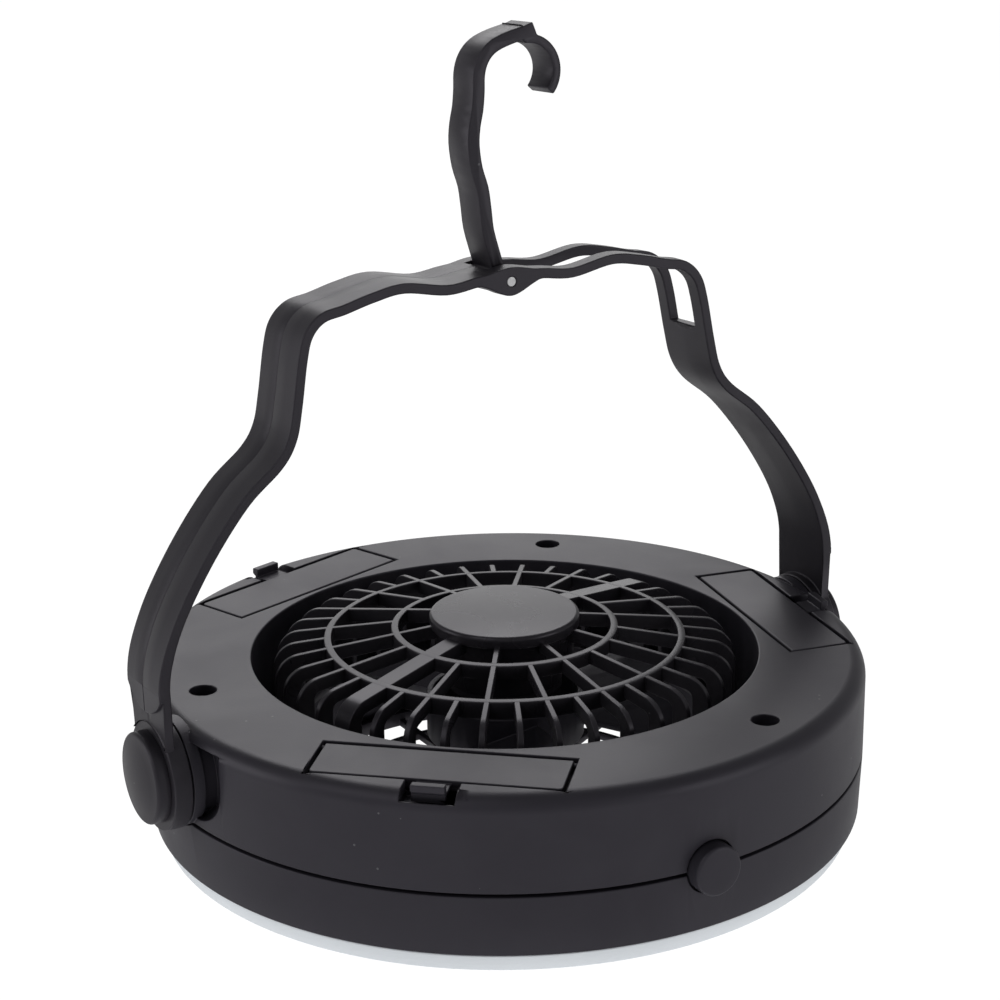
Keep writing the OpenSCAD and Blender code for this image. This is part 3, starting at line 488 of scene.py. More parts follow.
# %% [markdown]
# ## Outlines, turned parts and swept bands
# Most of the other pieces start as an outline. `rounded` puts an arc in each corner that asks
# for one, `turned` spins a profile about the vertical axis, `prism` gives an outline a height
# and `loft` joins a row of equal rings, which is how a band follows a path. Each closes its
# ends, and the normals are recalculated once the doubles are gone.

# %% Outline helpers
def rounded(corners, steps=4):
    """A closed outline from corners (x, y, radius)."""
    outline = []
    for i, (x, y, radius) in enumerate(corners):
        corner = Vector((x, y))
        if radius <= 0:
            outline.append(corner)
            continue
        before = (Vector(corners[i - 1][:2]) - corner).normalized()
        after = (Vector(corners[(i + 1) % len(corners)][:2]) - corner).normalized()
        half = before.angle(after) / 2
        middle = corner + (before + after).normalized() * radius / sin(half)
        begin = corner + before * radius / tan(half) - middle
        end = corner + after * radius / tan(half) - middle
        sweep = begin.angle_signed(end)
        first = atan2(begin.y, begin.x)
        for s in range(steps + 1):
            a = first - sweep * s / steps
            outline.append(middle + radius * Vector((cos(a), sin(a))))
    return outline


def closed_up(bm):
    bmesh.ops.remove_doubles(bm, verts=bm.verts, dist=TINY)
    bmesh.ops.recalc_face_normals(bm, faces=bm.faces)
    return bm


def loft(bm, rings, loop=False):
    """Join rings of points in millimetres; a ring of one point is a pole."""
    made = [[bm.verts.new(Vector(p) * MM) for p in ring] for ring in rings]
    pairs = list(zip(made, made[1:])) + ([(made[-1], made[0])] if loop else [])
    for low, high in pairs:
        count = max(len(low), len(high))
        for i in range(count):
            j = (i + 1) % count
            around = [low[i % len(low)], low[j % len(low)], high[j % len(high)],
                      high[i % len(high)]]
            around = [v for k, v in enumerate(around) if v not in around[:k]]
            if len(around) > 2:
                bm.faces.new(around)
    if not loop:
        for ring in (made[0], made[-1]):
            if len(ring) > 2:
                bm.faces.new(ring)
    return bm


def turned(name, profile, material, steps=144):
    """Spin a closed profile of (radius, height) about the vertical axis."""
    rings = []
    for radius, height in profile:
        spots = 1 if radius < TINY else steps
        rings.append([(radius * cos(2 * pi * i / spots), radius * sin(2 * pi * i / spots), height)
                      for i in range(spots)])
    piece = object_from(name, closed_up(loft(bmesh.new(), rings, loop=True)), material)
    piece.data.shade_smooth()
    piece.data.set_sharp_from_angle(angle=radians(40))
    return piece


def prism(name, outline, low, high, material):
    rings = [[(p[0], p[1], z) for p in outline] for z in (low, high)]
    return object_from(name, closed_up(loft(bmesh.new(), rings)), material)


def combine(piece, others, operation):
    for other in others:
        step = piece.modifiers.new("combine", "BOOLEAN")
        step.operation, step.object, step.solver = operation, other, "EXACT"
    settle(piece)
    for other in others:
        bpy.data.objects.remove(other)
    return piece


def moved(piece, *matrices):
    for matrix in matrices:
        piece.data.transform(matrix)
    return piece


def joined(name, pieces):
    """Put several pieces of one finish into one mesh."""
    bm = bmesh.new()
    for piece in pieces:
        bm.from_mesh(piece.data)
    result = object_from(name, bm, pieces[0].data.materials[0])
    for piece in pieces:
        bpy.data.objects.remove(piece)
    return result


def turn(degrees, axis):
    return Matrix.Rotation(radians(degrees), 4, axis)


print("helpers ready")

# %% [markdown]
# ## A ring of equal pieces, as geometry nodes
# Fins, spokes, screws and light emitters all stand in a ring. One small node tree makes any of
# them: it puts points on a circle, turns a copy of the piece to face outwards at each, can
# leave out every n-th place, and makes the copies real. Doing it with nodes rather than a loop
# keeps the count and the first angle as plain numbers on a modifier.

# %% Ring tree
ring_tree, inside, outside = new_group(
    "Ring of pieces", "GeometryNodeTree",
    [("Piece", "NodeSocketObject", None), ("Count", "NodeSocketInt", 12),
     ("First turn", "NodeSocketFloat", 0.0), ("Leave out every", "NodeSocketInt", 0),
     ("Radius", "NodeSocketFloat", 0.0), ("Material", "NodeSocketMaterial", None)],
    [("Geometry", "NodeSocketGeometry")])
place = add(ring_tree, "GeometryNodeInputIndex")
share = add(ring_tree, "ShaderNodeMath", {0: place.outputs[0], 1: inside.outputs["Count"]},
            operation="DIVIDE")
angle = add(ring_tree, "ShaderNodeMath", {0: share.outputs[0], 1: 2 * pi,
                                          2: inside.outputs["First turn"]},
            operation="MULTIPLY_ADD")
along = [add(ring_tree, "ShaderNodeMath", {0: angle.outputs[0]}, operation=operation)
         for operation in ("COSINE", "SINE")]
away = [add(ring_tree, "ShaderNodeMath", {0: part.outputs[0], 1: inside.outputs["Radius"]},
            operation="MULTIPLY") for part in along]
spot = add(ring_tree, "ShaderNodeCombineXYZ", {"X": away[0].outputs[0], "Y": away[1].outputs[0]})
points = add(ring_tree, "GeometryNodePoints", {"Count": inside.outputs["Count"],
                                               "Position": spot.outputs[0]})
rest = add(ring_tree, "ShaderNodeMath", {0: place.outputs[0],
                                         1: inside.outputs["Leave out every"]},
           operation="MODULO")
kept = add(ring_tree, "ShaderNodeMath", {0: rest.outputs[0], 1: 0.5}, operation="GREATER_THAN")
everywhere = add(ring_tree, "ShaderNodeMath", {0: inside.outputs["Leave out every"], 1: 0.5},
                 operation="LESS_THAN")
chosen = add(ring_tree, "ShaderNodeMath", {0: kept.outputs[0], 1: everywhere.outputs[0]},
             operation="MAXIMUM")
facing = add(ring_tree, "ShaderNodeCombineXYZ", {"Z": angle.outputs[0]})
facing = add(ring_tree, "FunctionNodeEulerToRotation", {0: facing.outputs[0]})
shape = add(ring_tree, "GeometryNodeObjectInfo", {"Object": inside.outputs["Piece"]})
copies = add(ring_tree, "GeometryNodeInstanceOnPoints",
             {"Points": points.outputs[0], "Selection": chosen.outputs[0],
              "Instance": shape.outputs["Geometry"], "Rotation": facing.outputs[0]})
real = add(ring_tree, "GeometryNodeRealizeInstances", {"Geometry": copies.outputs[0]})
finished = add(ring_tree, "GeometryNodeSetMaterial", {"Geometry": real.outputs[0],
                                                      "Material": inside.outputs["Material"]})
ring_tree.links.new(finished.outputs[0], outside.inputs["Geometry"])


def ring_of(source, count, first_turn=0.0, leave_out=0, radius=0.0):
    """Copies of a piece in a ring; the angle is in degrees, the radius in millimetres."""
    material = source.data.materials[0]
    ring = bpy.data.objects.new(source.name + "_ring", bpy.data.meshes.new(source.name + "_ring"))
    bpy.context.scene.collection.objects.link(ring)
    step = ring.modifiers.new("ring", "NODES")
    step.node_group = ring_tree
    values = {"Piece": source, "Count": count, "First turn": radians(first_turn),
              "Leave out every": leave_out, "Radius": radius * MM, "Material": material}
    for item in ring_tree.interface.items_tree:
        if item.in_out == "INPUT":
            step[item.identifier] = values[item.name]
    settle(ring)
    bpy.data.objects.remove(source)
    return ring


print("ring tree:", len(ring_tree.nodes), "nodes")

# %% [markdown]
# ## The two case halves
# Both halves are turned bodies with things cut into them, so they are made that way: spin the
# wall's profile, add the bays, bearings and screw tubes with a Boolean union, cut doors, notches,
# recesses and bores with a difference, and round the edges last. A spun wall has even facets,
# and a cut leaves each facet flat, so the long curved walls shade without streaks, which a
# triangulated copy of the solid would not.

# %% Case sizes and cutters
CASE_R, CASE_H, UPPER_Z, LOWER_Z, DECK_Z = 88.0, 42.4, 19.9, 19.1, 9.0
WELL_R, WELL_FLOOR, LEDGE_Z = 62.1, 21.9, 40.2
DOOR_TURNS = {"front": -131.7, "right": -11.7, "rear": 108.3}
SCREW_TURNS, SCREW_RING = (-69.7, 50.3, 170.3), 76.0
CAGE_SCREW_TURN, CAGE_SCREW_RING = 36, 59.55
PIVOT_Z, BUTTON_Z, BUTTON_BORE_R = 30.0, 19.9, 6.3
FINE_SPIN = 192


def box(name, low, high):
    corners = [(low[0], low[1]), (high[0], low[1]), (high[0], high[1]), (low[0], high[1])]
    return prism(name, corners, low[2], high[2], case_black)


def rod(name, radius, low, high, x=0.0, steps=64):
    circle = [(x + radius * cos(2 * pi * i / steps), radius * sin(2 * pi * i / steps))
              for i in range(steps)]
    return prism(name, circle, low, high, case_black)


def x_rod(side, name, radius, near, far, steps=96):
    """A rod on the pivot's axis, on one side, between two distances from the middle."""
    low, high = sorted((side * near, side * far))
    return moved(rod(name, radius, low, high, steps=steps), turn(90, "Y"),
                 Matrix.Translation((0, 0, PIVOT_Z * MM)))


def on_sides(make):
    return [moved(make(), turn(degrees, "Z")) for degrees in (0, 180)]


def at_doors(make):
    return [moved(make(), turn(degrees, "Z")) for degrees in DOOR_TURNS.values()]


def at_screws(radius, low, high):
    return [moved(rod("screw", radius, low, high, SCREW_RING, steps=48), turn(degrees, "Z"))
            for degrees in SCREW_TURNS]


def button_bore(radius):
    return moved(rod("bore", radius, 80, 95, steps=72), turn(90, "X"),
                 Matrix.Translation((0, 0, BUTTON_Z * MM)))


def rim_disc(low, high):
    return rod("rim", CASE_R - 1, low, high, steps=FINE_SPIN)


def clean_edges(piece, width, weld=0.05, angle=40):
    """Weld the slivers that the cuts left, then round the sharp edges."""
    bm = bmesh.new()
    bm.from_mesh(piece.data)
    bmesh.ops.remove_doubles(bm, verts=bm.verts, dist=weld * MM)
    bmesh.ops.dissolve_degenerate(bm, edges=bm.edges, dist=TINY)
    bm.to_mesh(piece.data)
    bm.free()
    return soften(piece, width, angle=angle)


POCKET_TOP, POCKET_FLAT = 39.9, 8.6


def pocket_ring(x, half, low):
    """The pocket's outline on the plane at x, with big round lower corners."""
    big = half - POCKET_FLAT
    return [(x, y, z) for y, z in rounded([(-half, low, big), (half, low, big),
                                           (half, POCKET_TOP, 1.5), (-half, POCKET_TOP, 1.5)],
                                          10)]


def pivot_pocket():
    """The pocket round a bearing: a flat floor with walls that open outwards."""
    rings = [pocket_ring(*size) for size in (
        (82.6, 13.5, 23.4), (84.2, 16.5, 22.4), (85.2, 18.8, 21.9), (85.8, 20.5, 21.7),
        (93, 36, 21.5))]
    return object_from("pocket", closed_up(loft(bmesh.new(), rings)), case_black)


# %% Upper case
# Boxes are two opposite corners, drawn for a door or a bearing that faces +X.
BAY_BLOCK = (62.9, -28.8, 23.6), (80.9, 28.8, 41.3)
BAY_HOLLOW = (64.9, -27.4, 25.0), (79.5, 27.4, 50)
DOOR_ROOM = (63.5, -28.9, LEDGE_Z), (80.3, 28.9, 50)
NOTCH_PAD = (79.5, -7.6, 38.4), (90, 7.6, 40.7)
NOTCH = (79.8, -6.1, 40.3), (95, 6.1, 50)
CATCH_ROOM = (81.2, -5.9, 38.9), (87.1, 5.9, 40.6)
POCKET_BACKING = (80.6, -21.5, UPPER_Z), (86.6, 21.5, 40.7)
BEARING_PARTS = (("neck", 11.6, 81.6, 86.2), ("flange", 12.7, 85.9, 88.8),
                 ("spigot", 4.1, 88.0, 92.0, 48))
SCREW_TUBE_R, SCREW_WELL_R, SCREW_SEAT_Z = 4.6, 3.2, 23.9

top = turned("case_top", rounded([
    (CASE_R, UPPER_Z, 0), (CASE_R, CASE_H, 4.0), (WELL_R, CASE_H, 0.45), (WELL_R, WELL_FLOOR, 0),
    (WELL_R + 1.6, WELL_FLOOR, 0), (WELL_R + 1.6, LEDGE_Z + 0.3, 0),
    (CASE_R - 2, LEDGE_Z + 0.3, 0), (CASE_R - 2, UPPER_Z, 0)], 12), case_black, FINE_SPIN)
inner_parts = (at_doors(lambda: box("bay", *BAY_BLOCK)) + at_doors(lambda: box("pad", *NOTCH_PAD))
               + on_sides(lambda: box("backing", *POCKET_BACKING)))
walls = combine(inner_parts[0], inner_parts[1:], "UNION")
combine(walls, [rim_disc(0, 60)], "INTERSECT")
recesses = on_sides(pivot_pocket)
bearings = [x_rod(side, *part) for side in (1, -1) for part in BEARING_PARTS]
cuts = (at_doors(lambda: box("hollow", *BAY_HOLLOW)) + at_doors(lambda: box("door", *DOOR_ROOM))
        + at_doors(lambda: box("notch", *NOTCH)) + at_doors(lambda: box("catch_room", *CATCH_ROOM))
        + at_screws(SCREW_WELL_R, SCREW_SEAT_Z, 50) + at_screws(1.5, 15, 30)
        + [button_bore(BUTTON_BORE_R)])
combine(top, [walls], "UNION")
combine(top, recesses, "DIFFERENCE")
combine(top, at_screws(SCREW_TUBE_R, UPPER_Z, 41.3) + bearings, "UNION")
combine(top, cuts, "DIFFERENCE")
clean_edges(top, 0.28)
hand_over(top, "housing", "black_plastic", "upper_case")

# %% Lower case
RIM_Z, DUCT_R, DUCT_OUT_R, DUCT_FOOT_Z, DUCT_TOP_Z = 4.8, 57.3, 58.9, 0.6, 20.2

bottom = turned("case_bottom", rounded([
    (CASE_R, LOWER_Z, 0.3), (CASE_R - 0.6, RIM_Z, 0.3), (CASE_R - 2, RIM_Z, 0),
    (CASE_R - 2, DECK_Z, 0), (DUCT_OUT_R, DECK_Z, 0), (DUCT_OUT_R, DUCT_FOOT_Z, 0.2),
    (DUCT_R, DUCT_FOOT_Z, 0.2), (DUCT_R, DUCT_TOP_Z, 0.2), (DUCT_OUT_R, DUCT_TOP_Z, 0.2),
    (DUCT_OUT_R, DECK_Z + 2, 0), (CASE_R - 2, DECK_Z + 2, 0), (CASE_R - 2, LOWER_Z, 0)], 3),
    case_black, FINE_SPIN)
lip = turned("lip", [(85.7, 16.1), (87.0, 16.1), (87.0, 17.5), (85.7, 17.5), (85.7, 21.9),
                     (84.3, 21.9), (84.3, 16.1)], case_black, FINE_SPIN)
combine(lip, on_sides(lambda: box("gap", (79.6, -22.5, 10), (95, 22.5, 30))) + [button_bore(7.8)],
        "DIFFERENCE")
posts = at_screws(SCREW_TUBE_R, DECK_Z + 1.9, UPPER_Z - 0.01) + [
    moved(rod("post", 1.85, DECK_Z + 1.9, 20.0, CAGE_SCREW_RING, steps=24),
          turn(CAGE_SCREW_TURN + 120 * i, "Z")) for i in range(3)]
posts += [box("shelf", (-5, -82.0, 10.9), (5, -73.0, 15.9))]
combine(bottom, [lip] + posts, "UNION")
combine(bottom, at_screws(1.31, DECK_Z + 2, 30) + [button_bore(BUTTON_BORE_R)] + [
    x_rod(side, "bearing_room", 12.9, 82.6, 90) for side in (1, -1)], "DIFFERENCE")
clean_edges(bottom, 0.2)
hand_over(bottom, "housing", "black_plastic", "lower_case")

# %% [markdown]
# ## The cage over the fan
# The cage is one black moulding: a round cap over the motor, two rings, spokes that run out,
# bend over and stand down in the well as fins, and two wide bars opposite each other. Of the
# forty places every fourth is a long spoke from the cap's neck, the others start at the inner or
# the outer ring. A fin is a flat plate, so it is drawn once as an outline in radius and height,
# given its thickness and soft edges, and set in a ring. The top is not flat: it falls away from
# the hub as a very shallow cone, so every height on it comes from one function of the radius.

# %% Cage sizes and fins
HUB_LINE, CAGE_FALL, FIN_FOOT = 51.45, 0.13, 21.7
FIN_R, FIN_DEPTH, FIN_BEND, SPOKE_H = 56.8, 4.4, 6.4, 3.4
FIN_COUNT, BAR_TURN, FIN_T, BAR_T = 40, 18, 1.4, 4.8
INNER_RING, OUTER_RING, RING_W = 26.9, 43.4, 1.8
NECK_R, CUP_R, CAP_WALL = 16.9, 14.05, 1.7
CAP_TOP, CAP_UNDER, NECK_FOOT, MOTOR_FOOT = 51.3, 48.3, 41.0, 34.2


def cage_top(radius):
    return HUB_LINE - CAGE_FALL * radius


def fin_outline(start):
    inner = FIN_R - FIN_DEPTH
    return rounded([(start, cage_top(start) - SPOKE_H, 0), (start, cage_top(start), 0),
                    (FIN_R, cage_top(FIN_R), FIN_BEND), (FIN_R, FIN_FOOT, 0),
                    (inner, FIN_FOOT, 0),
                    (inner, cage_top(inner) - SPOKE_H, FIN_BEND - FIN_DEPTH)], 8)


def fin(name, start, thick):
    plate = prism(name, fin_outline(start), -thick / 2, thick / 2, cage_black)
    moved(plate, turn(90, "X"))
    return soften(plate, 0.24)


STEP = 360 / FIN_COUNT
fins = [ring_of(fin("fins_outer", OUTER_RING, FIN_T), 20, BAR_TURN + STEP),
        ring_of(fin("fins_inner", INNER_RING, FIN_T), 10, BAR_TURN + 2 * STEP),
        ring_of(fin("spokes", NECK_R - 0.6, FIN_T), 10, BAR_TURN, leave_out=5),
        ring_of(fin("bars", NECK_R - 0.6, BAR_T), 2, BAR_TURN)]
print("fins and spokes:", sum(len(f.data.polygons) for f in fins), "faces")

# %% Cage rings and motor cap
def cage_ring(name, middle, high):
    near, far = middle - RING_W / 2, middle + RING_W / 2
    low = cage_top(middle) - high
    return turned(name, rounded([(near, low, 0.1), (far, low, 0.1),
                                 (far, cage_top(far) + 0.02, 0.25),
                                 (near, cage_top(near) + 0.02, 0.25)], 3), cage_black)


rings = [cage_ring("ring_in", INNER_RING, SPOKE_H),
         cage_ring("ring_out", OUTER_RING, SPOKE_H + 0.8),
         turned("cage_foot", rounded([(51.4, 20.2, 0.1), (61.7, 20.2, 0.1), (61.7, 21.7, 0.3),
                                      (57.7, 21.7, 0.1), (57.6, 22.3, 0.3),
                                      (51.4, 22.3, 0.3)], 3), cage_black)]
cap = turned("motor_cap", rounded([
    (0, CAP_TOP, 0), (0, CAP_UNDER, 0), (CUP_R - CAP_WALL, CAP_UNDER, 0),
    (CUP_R - CAP_WALL, MOTOR_FOOT, 0.2), (CUP_R, MOTOR_FOOT, 0.2), (CUP_R, CAP_UNDER, 0),
    (NECK_R - CAP_WALL, CAP_UNDER, 0), (NECK_R - CAP_WALL, NECK_FOOT, 0.2),
    (NECK_R, NECK_FOOT, 0.3), (NECK_R, 48.0, 0.3), (18.3, CAP_UNDER, 0.3),
    (18.5, CAP_TOP, 1.0)], 5), cage_black)
cage = joined("cage", fins + rings + [cap])
hand_over(cage, "housing", "black_plastic", "intake_cage")

# %% [markdown]
# ## The carry handle
# The handle is a flat band that follows a wavy line over the top and down both arms, with a
# round end on each side. It is drawn upright and then leaned by the few degrees at which it
# stands. A band like this is best swept: a ring of section points is set square to the line at
# every step. The section is not a plain rectangle. Both wide faces rise a little to the middle,
# where the mould parts, with a hair line there on the outside, and round the hook's pin the band
# swells into a boss. The slot for the folded hook is cut afterwards, and then all edges are
# rounded in one go. The raised layer on the foot of each arm is a prism of its own.

# %% Handle line
LEAN = 2.35
PIN_Z, GRIP, SHOULDER_X, ARM_X, ARM_FOOT_Z = 134.2, 52.5, 58.1, 92.9, 53.0
ARM_SPAN = ARM_X - SHOULDER_X
BAND_W, BAND_T, BAND_RISE = 19.1, 2.9, 0.9
BOSS_HALF, BOSS_REACH, FOOT_STEP = 3.6, 9.0, 0.8
HANDLE_POINTS = [
    (-3, PIN_Z + 0.9), (0, PIN_Z + 0.9), (3, PIN_Z + 0.9), (6, PIN_Z + 0.9), (9, PIN_Z + 0.9),
    (17, PIN_Z + 0.1), (28, PIN_Z + 1.9), (36, PIN_Z + 0.8), (GRIP - 9.2, PIN_Z - 1),
    (GRIP - 3.6, PIN_Z - 2.2), (GRIP + 0.1, PIN_Z - 5.6), (GRIP + 1.9, PIN_Z - 11.2),
    (GRIP + 3.8, PIN_Z - 21.6), (SHOULDER_X, PIN_Z - 28.8),
    (ARM_X - 0.894 * ARM_SPAN, PIN_Z - 34.2), (ARM_X - 0.649 * ARM_SPAN, PIN_Z - 41.2),
    (ARM_X - 0.388 * ARM_SPAN, PIN_Z - 52.2), (ARM_X - 0.167 * ARM_SPAN, ARM_FOOT_Z + 17),
    (ARM_X - 0.046 * ARM_SPAN, ARM_FOOT_Z + 7.5), (ARM_X, ARM_FOOT_Z), (ARM_X, ARM_FOOT_Z - 9)]
lean = (Matrix.Translation((0, 0, PIVOT_Z * MM)) @ turn(-LEAN, "X")
        @ Matrix.Translation((0, 0, -PIVOT_Z * MM)))


def smooth_line(points, steps):
    """Catmull-Rom line through all points but the first and the last."""
    line = []
    for a, b, c, d in zip(points, points[1:], points[2:], points[3:]):
        a, b, c, d = (Vector(p) for p in (a, b, c, d))
        for s in range(steps):
            t = s / steps
            line.append(0.5 * (2 * b + (c - a) * t + (2 * a - 5 * b + 4 * c - d) * t ** 2
                               + (3 * b - a - 3 * c + d) * t ** 3))
    return line + [Vector(points[-2])]


def sides(line):
    """The direction to the left of the line at each of its points."""
    out = []
    for i in range(len(line)):
        way = (line[min(i + 1, len(line) - 1)] - line[max(i - 1, 0)]).normalized()
        out.append(Vector((-way.y, way.x)))
    out[0], out[-1] = Vector((-1, 0)), Vector((1, 0))
    return out


half_line = smooth_line(HANDLE_POINTS, 6)
handle_line = [Vector((-p.x, p.y)) for p in reversed(half_line[1:])] + half_line
print("handle line:", len(handle_line), "points")

# %% Handle band
ROOF, HAIR_LINE, ROUND_END_X = 0.22, 0.13, 93.6


def swell(x):
    k = max(0, 1 - abs(x) / BOSS_REACH)
    return k * k * (3 - 2 * k)


def band_section(x, relief=1.0):
    """Section points (across, outwards) of the band where its line is at x."""
    roof, hair = ROOF * relief, HAIR_LINE
    out = BAND_T / 2 + (BOSS_HALF - BAND_RISE - BAND_T / 2) * swell(x)
    inn = BAND_T / 2 + (BOSS_HALF + BAND_RISE - BAND_T / 2) * swell(x)
    w = BAND_W / 2
    return [(-w, out - roof), (-w / 2, out - roof / 2), (-0.32, out), (0, out - hair),
            (0.32, out), (w / 2, out - roof / 2), (w, out - roof), (w, roof - inn),
            (w / 2, roof / 2 - inn), (1, -inn), (-1, -inn), (-w / 2, roof / 2 - inn),
            (-w, roof - inn)]


def foot_ring(side, z, step):
    """The band's section at the foot of an arm, with the outer face stepped in."""
    return [(side * (ARM_X + (v - step if v > 0 else v)), u, z)
            for u, v in band_section(ARM_X, 0.0)]


rings = [[(p.x + n.x * v, u, p.y + n.y * v)
          for u, v in band_section(p.x, min(1, (p.y - ARM_FOOT_Z) / 12))]
         for p, n in zip(handle_line, sides(handle_line))]
BAND_END_Z = ARM_FOOT_Z - 2.4
feet = {side: [foot_ring(side, z, step)
               for z, step in ((BAND_END_Z, 0), (BAND_END_Z, FOOT_STEP), (PIVOT_Z, FOOT_STEP))]
        for side in (-1, 1)}
rings = feet[-1][::-1] + rings + feet[1]
band = object_from("band", closed_up(loft(bmesh.new(), rings)), handle_black)
ends = [x_rod(side, "round_end", 13.0, 89.1, ROUND_END_X) for side in (1, -1)]
cuts = [x_rod(side, "cap_seat", 8.4, 91.8, 96) for side in (1, -1)]
cuts += [x_rod(side, "bearing", 4.18, 88, 96) for side in (1, -1)]
cuts += [box("hook_slot", (-4, -5.2, 115.8), (72.5, 5.2, 145)),
         moved(rod("pin_hole", 1.11, -12, 12, steps=32), turn(90, "X"),
               Matrix.Translation((0, 0, PIN_Z * MM)))]
combine(band, ends, "UNION")
combine(band, cuts, "DIFFERENCE")
clean_edges(band, 0.4, 0.03, 50)
LAYER_TIP_Z, LAYER_R, LAYER_HALF = ARM_FOOT_Z - 7.2, 11.8, 9.53
reach = asin(LAYER_HALF / LAYER_R)
layer_outline = [(LAYER_HALF, ARM_FOOT_Z - 0.6), (-LAYER_HALF, ARM_FOOT_Z - 0.6)] + [
    (LAYER_R * sin(a), LAYER_TIP_Z + LAYER_R * (1 - cos(a)))
    for a in (reach * (i / 10 - 1) for i in range(21))]
layers = []
for side in (1, -1):
    layer = prism("layer", layer_outline, 92.5, 94.37, handle_black)
    moved(layer, Matrix(((0, 0, side, 0), (1, 0, 0, 0), (0, 1, 0, 0), (0, 0, 0, 1))))
    bm = bmesh.new()
    bm.from_mesh(layer.data)
    closed_up(bm).to_mesh(layer.data)
    bm.free()
    soften(layer, 0.3)
    groove = box("groove", (94.2, -0.2, 40), (95, 0.2, 60))
    if side < 0:
        moved(groove, turn(180, "Z"))
    layers.append(combine(layer, [groove], "DIFFERENCE"))
handle = joined("handle", [band] + layers)
moved(handle, lean)
hand_over(handle, "handle", "black_plastic", "carry_handle")

# %% [markdown]
# ## Hook, pin and pivot caps
# The hook is a thinner band that folds into the handle's slot on a steel pin. The solid has its
# shape, so a softened copy is enough. The caps that close the handle's round ends are shallow
# domes: turned parts, with the profile's dome given by three sizes and its rim rounded.

# %% Hook and caps
hook = soften(solid_copy("hanging_hook", "hook", handle_black, 0.06), 0.35, angle=42)
hand_over(hook, "hook", "black_plastic", "hanging_hook")

CAP_R, CAP_RIM, CAP_DOME, CAP_SEAT_R, CAP_SEAT_H = 10.8, 3.0, 1.8, 9.6, 1.8


def cap_profile():
    bow = (CAP_R ** 2 + CAP_DOME ** 2) / (2 * CAP_DOME)
    dome = [(r, CAP_RIM + CAP_DOME - bow + sqrt(bow ** 2 - r ** 2), 0)
            for r in (0, 2, 4, 6, 8, CAP_SEAT_R)]
    edge = [(CAP_R, CAP_RIM + 0.3, 0.9), (CAP_R, 0, 0.2), (CAP_SEAT_R, 0, 0),
            (CAP_SEAT_R, CAP_SEAT_H, 0), (0, CAP_SEAT_H, 0)]
    return rounded(dome + edge, 5)


for side, node in ((1, "pivot_cap_right"), (-1, "pivot_cap_left")):
    cap = turned(node.replace("pivot_", "") + "_dome", cap_profile(), handle_black)
    moved(cap, Matrix.Translation((0, 0, ROUND_END_X * MM)), turn(90 * side, "Y"),
          Matrix.Translation((0, 0, PIVOT_Z * MM)), lean)
    hand_over(cap, "handle", "black_plastic", node)

# %% [markdown]
# ## Battery doors
# Three equal doors close the cell bays. A door is a thin plate whose inner edge is its hinge
# barrel, with a latch tab in the middle of its outer edge that hangs over the rim and ends in a
# raised lip for a finger. The plate is what a side view and a plan have in common, so both sets
# of corners can be round. The tab and the hinge pegs are side views given a width. The three
# doors differ only by their angle and by the body they ride on.

# %% Doors
DOOR_IN, DOOR_OUT, DOOR_HALF, DOOR_LOW, DOOR_TOP = 64.4, 79.4, 28.0, 40.2, 42.28
TAB_LOW, TAB_HIGH, TAB_IN, TAB_OUT, TAB_HALF = 40.7, 41.6, 84.1, 85.3, 3.8
LIP_OUT, LIP_TOP, CATCH_LOW, LIP_START = 86.2, 43.8, 39.5, 41.7
PEG_X, PEG_Z, PEG_R = 65.1, 41.2, 0.6


def side_view(name, outline, half):
    """A prism with its outline in x and z and its width along y."""
    return moved(prism(name, outline, -half, half, case_black), turn(90, "X"))


def door(name):
    """A plate between its plan and its side view, with hinge pegs and a finger lip."""
    plate = side_view(name, rounded([
        (DOOR_IN, DOOR_LOW, 0.9), (DOOR_OUT + 1, DOOR_LOW, 0), (DOOR_OUT + 1, DOOR_TOP, 0),
        (DOOR_IN, DOOR_TOP, 0.5)], 5), DOOR_HALF + 2)
    plan = prism("plan", rounded([
        (DOOR_IN - 1, -DOOR_HALF, 0), (DOOR_OUT, -DOOR_HALF, 1.0), (DOOR_OUT, DOOR_HALF, 1.0),
        (DOOR_IN - 1, DOOR_HALF, 0)], 6), 38, 45, case_black)
    combine(plate, [plan], "INTERSECT")
    tab = side_view("tab", rounded([
        (DOOR_OUT - 1, TAB_LOW, 0), (TAB_IN, TAB_LOW, 0), (TAB_IN, CATCH_LOW, 0.2),
        (TAB_OUT, CATCH_LOW, 0.2), (TAB_OUT, LIP_START, 0), (LIP_OUT, 42.3, 0.3),
        (LIP_OUT, LIP_TOP, 0.3), (TAB_IN, LIP_TOP, 0.3), (TAB_IN, TAB_HIGH, 0),
        (DOOR_OUT - 1, TAB_HIGH, 0)], 4), TAB_HALF)
    pegs = side_view("pegs", [(PEG_X + PEG_R * cos(pi * i / 12), PEG_Z + PEG_R * sin(pi * i / 12))
                              for i in range(24)], DOOR_HALF + 0.9)
    combine(plate, [tab, pegs], "UNION")
    return soften(plate, 0.28, angle=40)


for place, degrees in DOOR_TURNS.items():
    leaf = moved(door("battery_door_" + place), turn(degrees, "Z"))
    hand_over(leaf, "door_" + place, "black_plastic", "door_" + place)

# %% [markdown]
# ## Button, lens and emitters
# The button and the lens are turned parts. The lens closes the light ring from below: a flat
# frosted ring with a bevelled edge, whose wall goes up into the case. Behind it stand the
# emitters on their board, another ring of equal pieces.

# %% Button and lens
button = turned("button", rounded([
    (0, 91.3, 0), (0, 84.1, 0), (7.2, 84.1, 0.1), (7.2, 85.1, 0.2), (5.9, 85.1, 0),
    (5.9, 91.1, 0.8), (3.0, 91.3, 0)], 5), case_black, 96)
moved(button, turn(90, "X"), Matrix.Translation((0, 0, BUTTON_Z * MM)))
hand_over(button, "button", "black_plastic", "push_button")

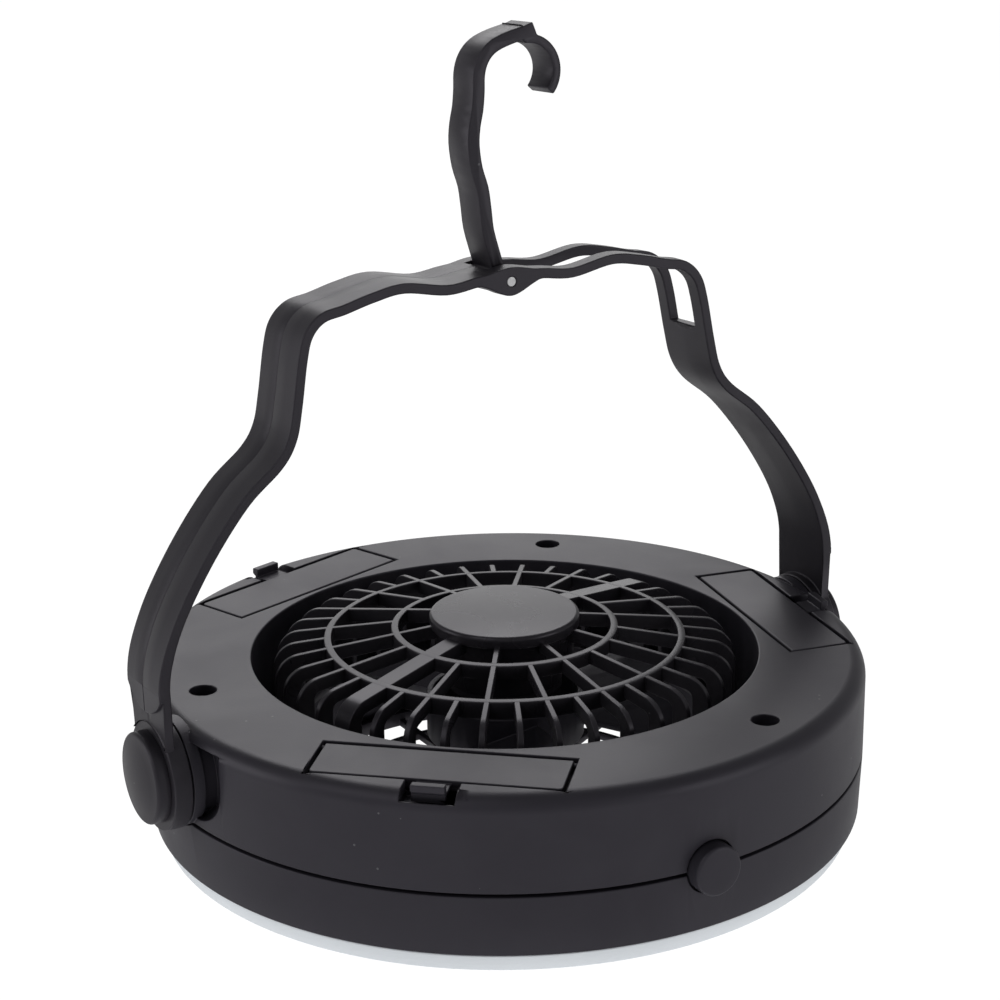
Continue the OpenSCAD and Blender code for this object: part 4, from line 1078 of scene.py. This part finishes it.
lens = turned("lens", rounded([
    (59.3, 0, 0.4), (85.1, 0, 0.8), (86.9, 4.6, 0.3), (85.7, 4.6, 0.1), (85.7, 8.9, 0.2),
    (83.9, 8.9, 0.2), (83.9, 4.6, 0.2), (83.3, 1.8, 0.4), (61.1, 1.8, 0.4), (61.1, 8.9, 0.2),
    (59.3, 8.9, 0.2)], 4), frosted, FINE_SPIN)
hand_over(lens, "housing", "frosted_plastic", "light_diffuser")

# %% Emitters and screws
EMITTER_COUNT, EMITTER_RING, CAGE_SCREW_SEAT_Z = 18, 72.45, 21.7

dome = turned("emitters", rounded([
    (0, 7.39, 0), (2.9, 7.39, 0), (2.9, 6.6, 0.1), (2.5, 6.6, 0), (2.5, 4.4, 0), (2.3, 3.4, 0),
    (1.75, 2.65, 0), (0.95, 2.2, 0), (0, 2.1, 0)]), emitter, 24)
hand_over(ring_of(dome, EMITTER_COUNT, radius=EMITTER_RING), "housing", "led_lens", "leds")


def cross_head_screw(name, head_r, head_t, shank_r, length, slot_w=0.7):
    """A pan head screw along -Z with its head's foot at height 0."""
    screw = turned(name, rounded([
        (0, head_t, 0), (0, -length, 0), (0.5 * shank_r, -length, 0), (shank_r, -length + 1, 0),
        (shank_r, 0, 0), (head_r, 0, 0.1), (head_r, head_t, 0.5)], 3), dark_screw, 40)
    slots = [box("slot", (-a, -b, head_t / 2), (a, b, head_t + 1))
             for a, b in ((head_r * 0.5, slot_w / 2), (slot_w / 2, head_r * 0.5))]
    return combine(screw, slots, "DIFFERENCE")


case_screw = moved(cross_head_screw("case_screw", 2.8, 2.0, 1.3, 11.3),
                   Matrix.Translation((0, 0, SCREW_SEAT_Z * MM)))
case_screws = ring_of(case_screw, 3, SCREW_TURNS[0], radius=SCREW_RING)
hand_over(case_screws, "housing", "bright_steel", "case_screws")
cage_screw = moved(cross_head_screw("cage_screw", 1.8, 1.2, 0.9, 8.6, 0.5),
                   Matrix.Translation((0, 0, CAGE_SCREW_SEAT_Z * MM)))
cage_screws = ring_of(cage_screw, 3, CAGE_SCREW_TURN, radius=CAGE_SCREW_RING)
hand_over(cage_screws, "housing", "bright_steel", "cage_screws")

# %% [markdown]
# ## Fan blades and outlet grille
# Both are seen only through the cage or from below, and the solids already have the right form:
# pitched and cambered blades, and a grille of rings and bars. Softened copies are enough.

# %% Fan and grille
for node, name, material, width, weld, body in (
        ("fan_impeller", "fan_blades", case_black, 0.3, 0.05, "fan"),
        ("outlet_grille", "grille", cage_black, 0.3, 0.02, "housing")):
    piece = soften(solid_copy(node, name, material, weld), width)
    hand_over(piece, body, "black_plastic", node)
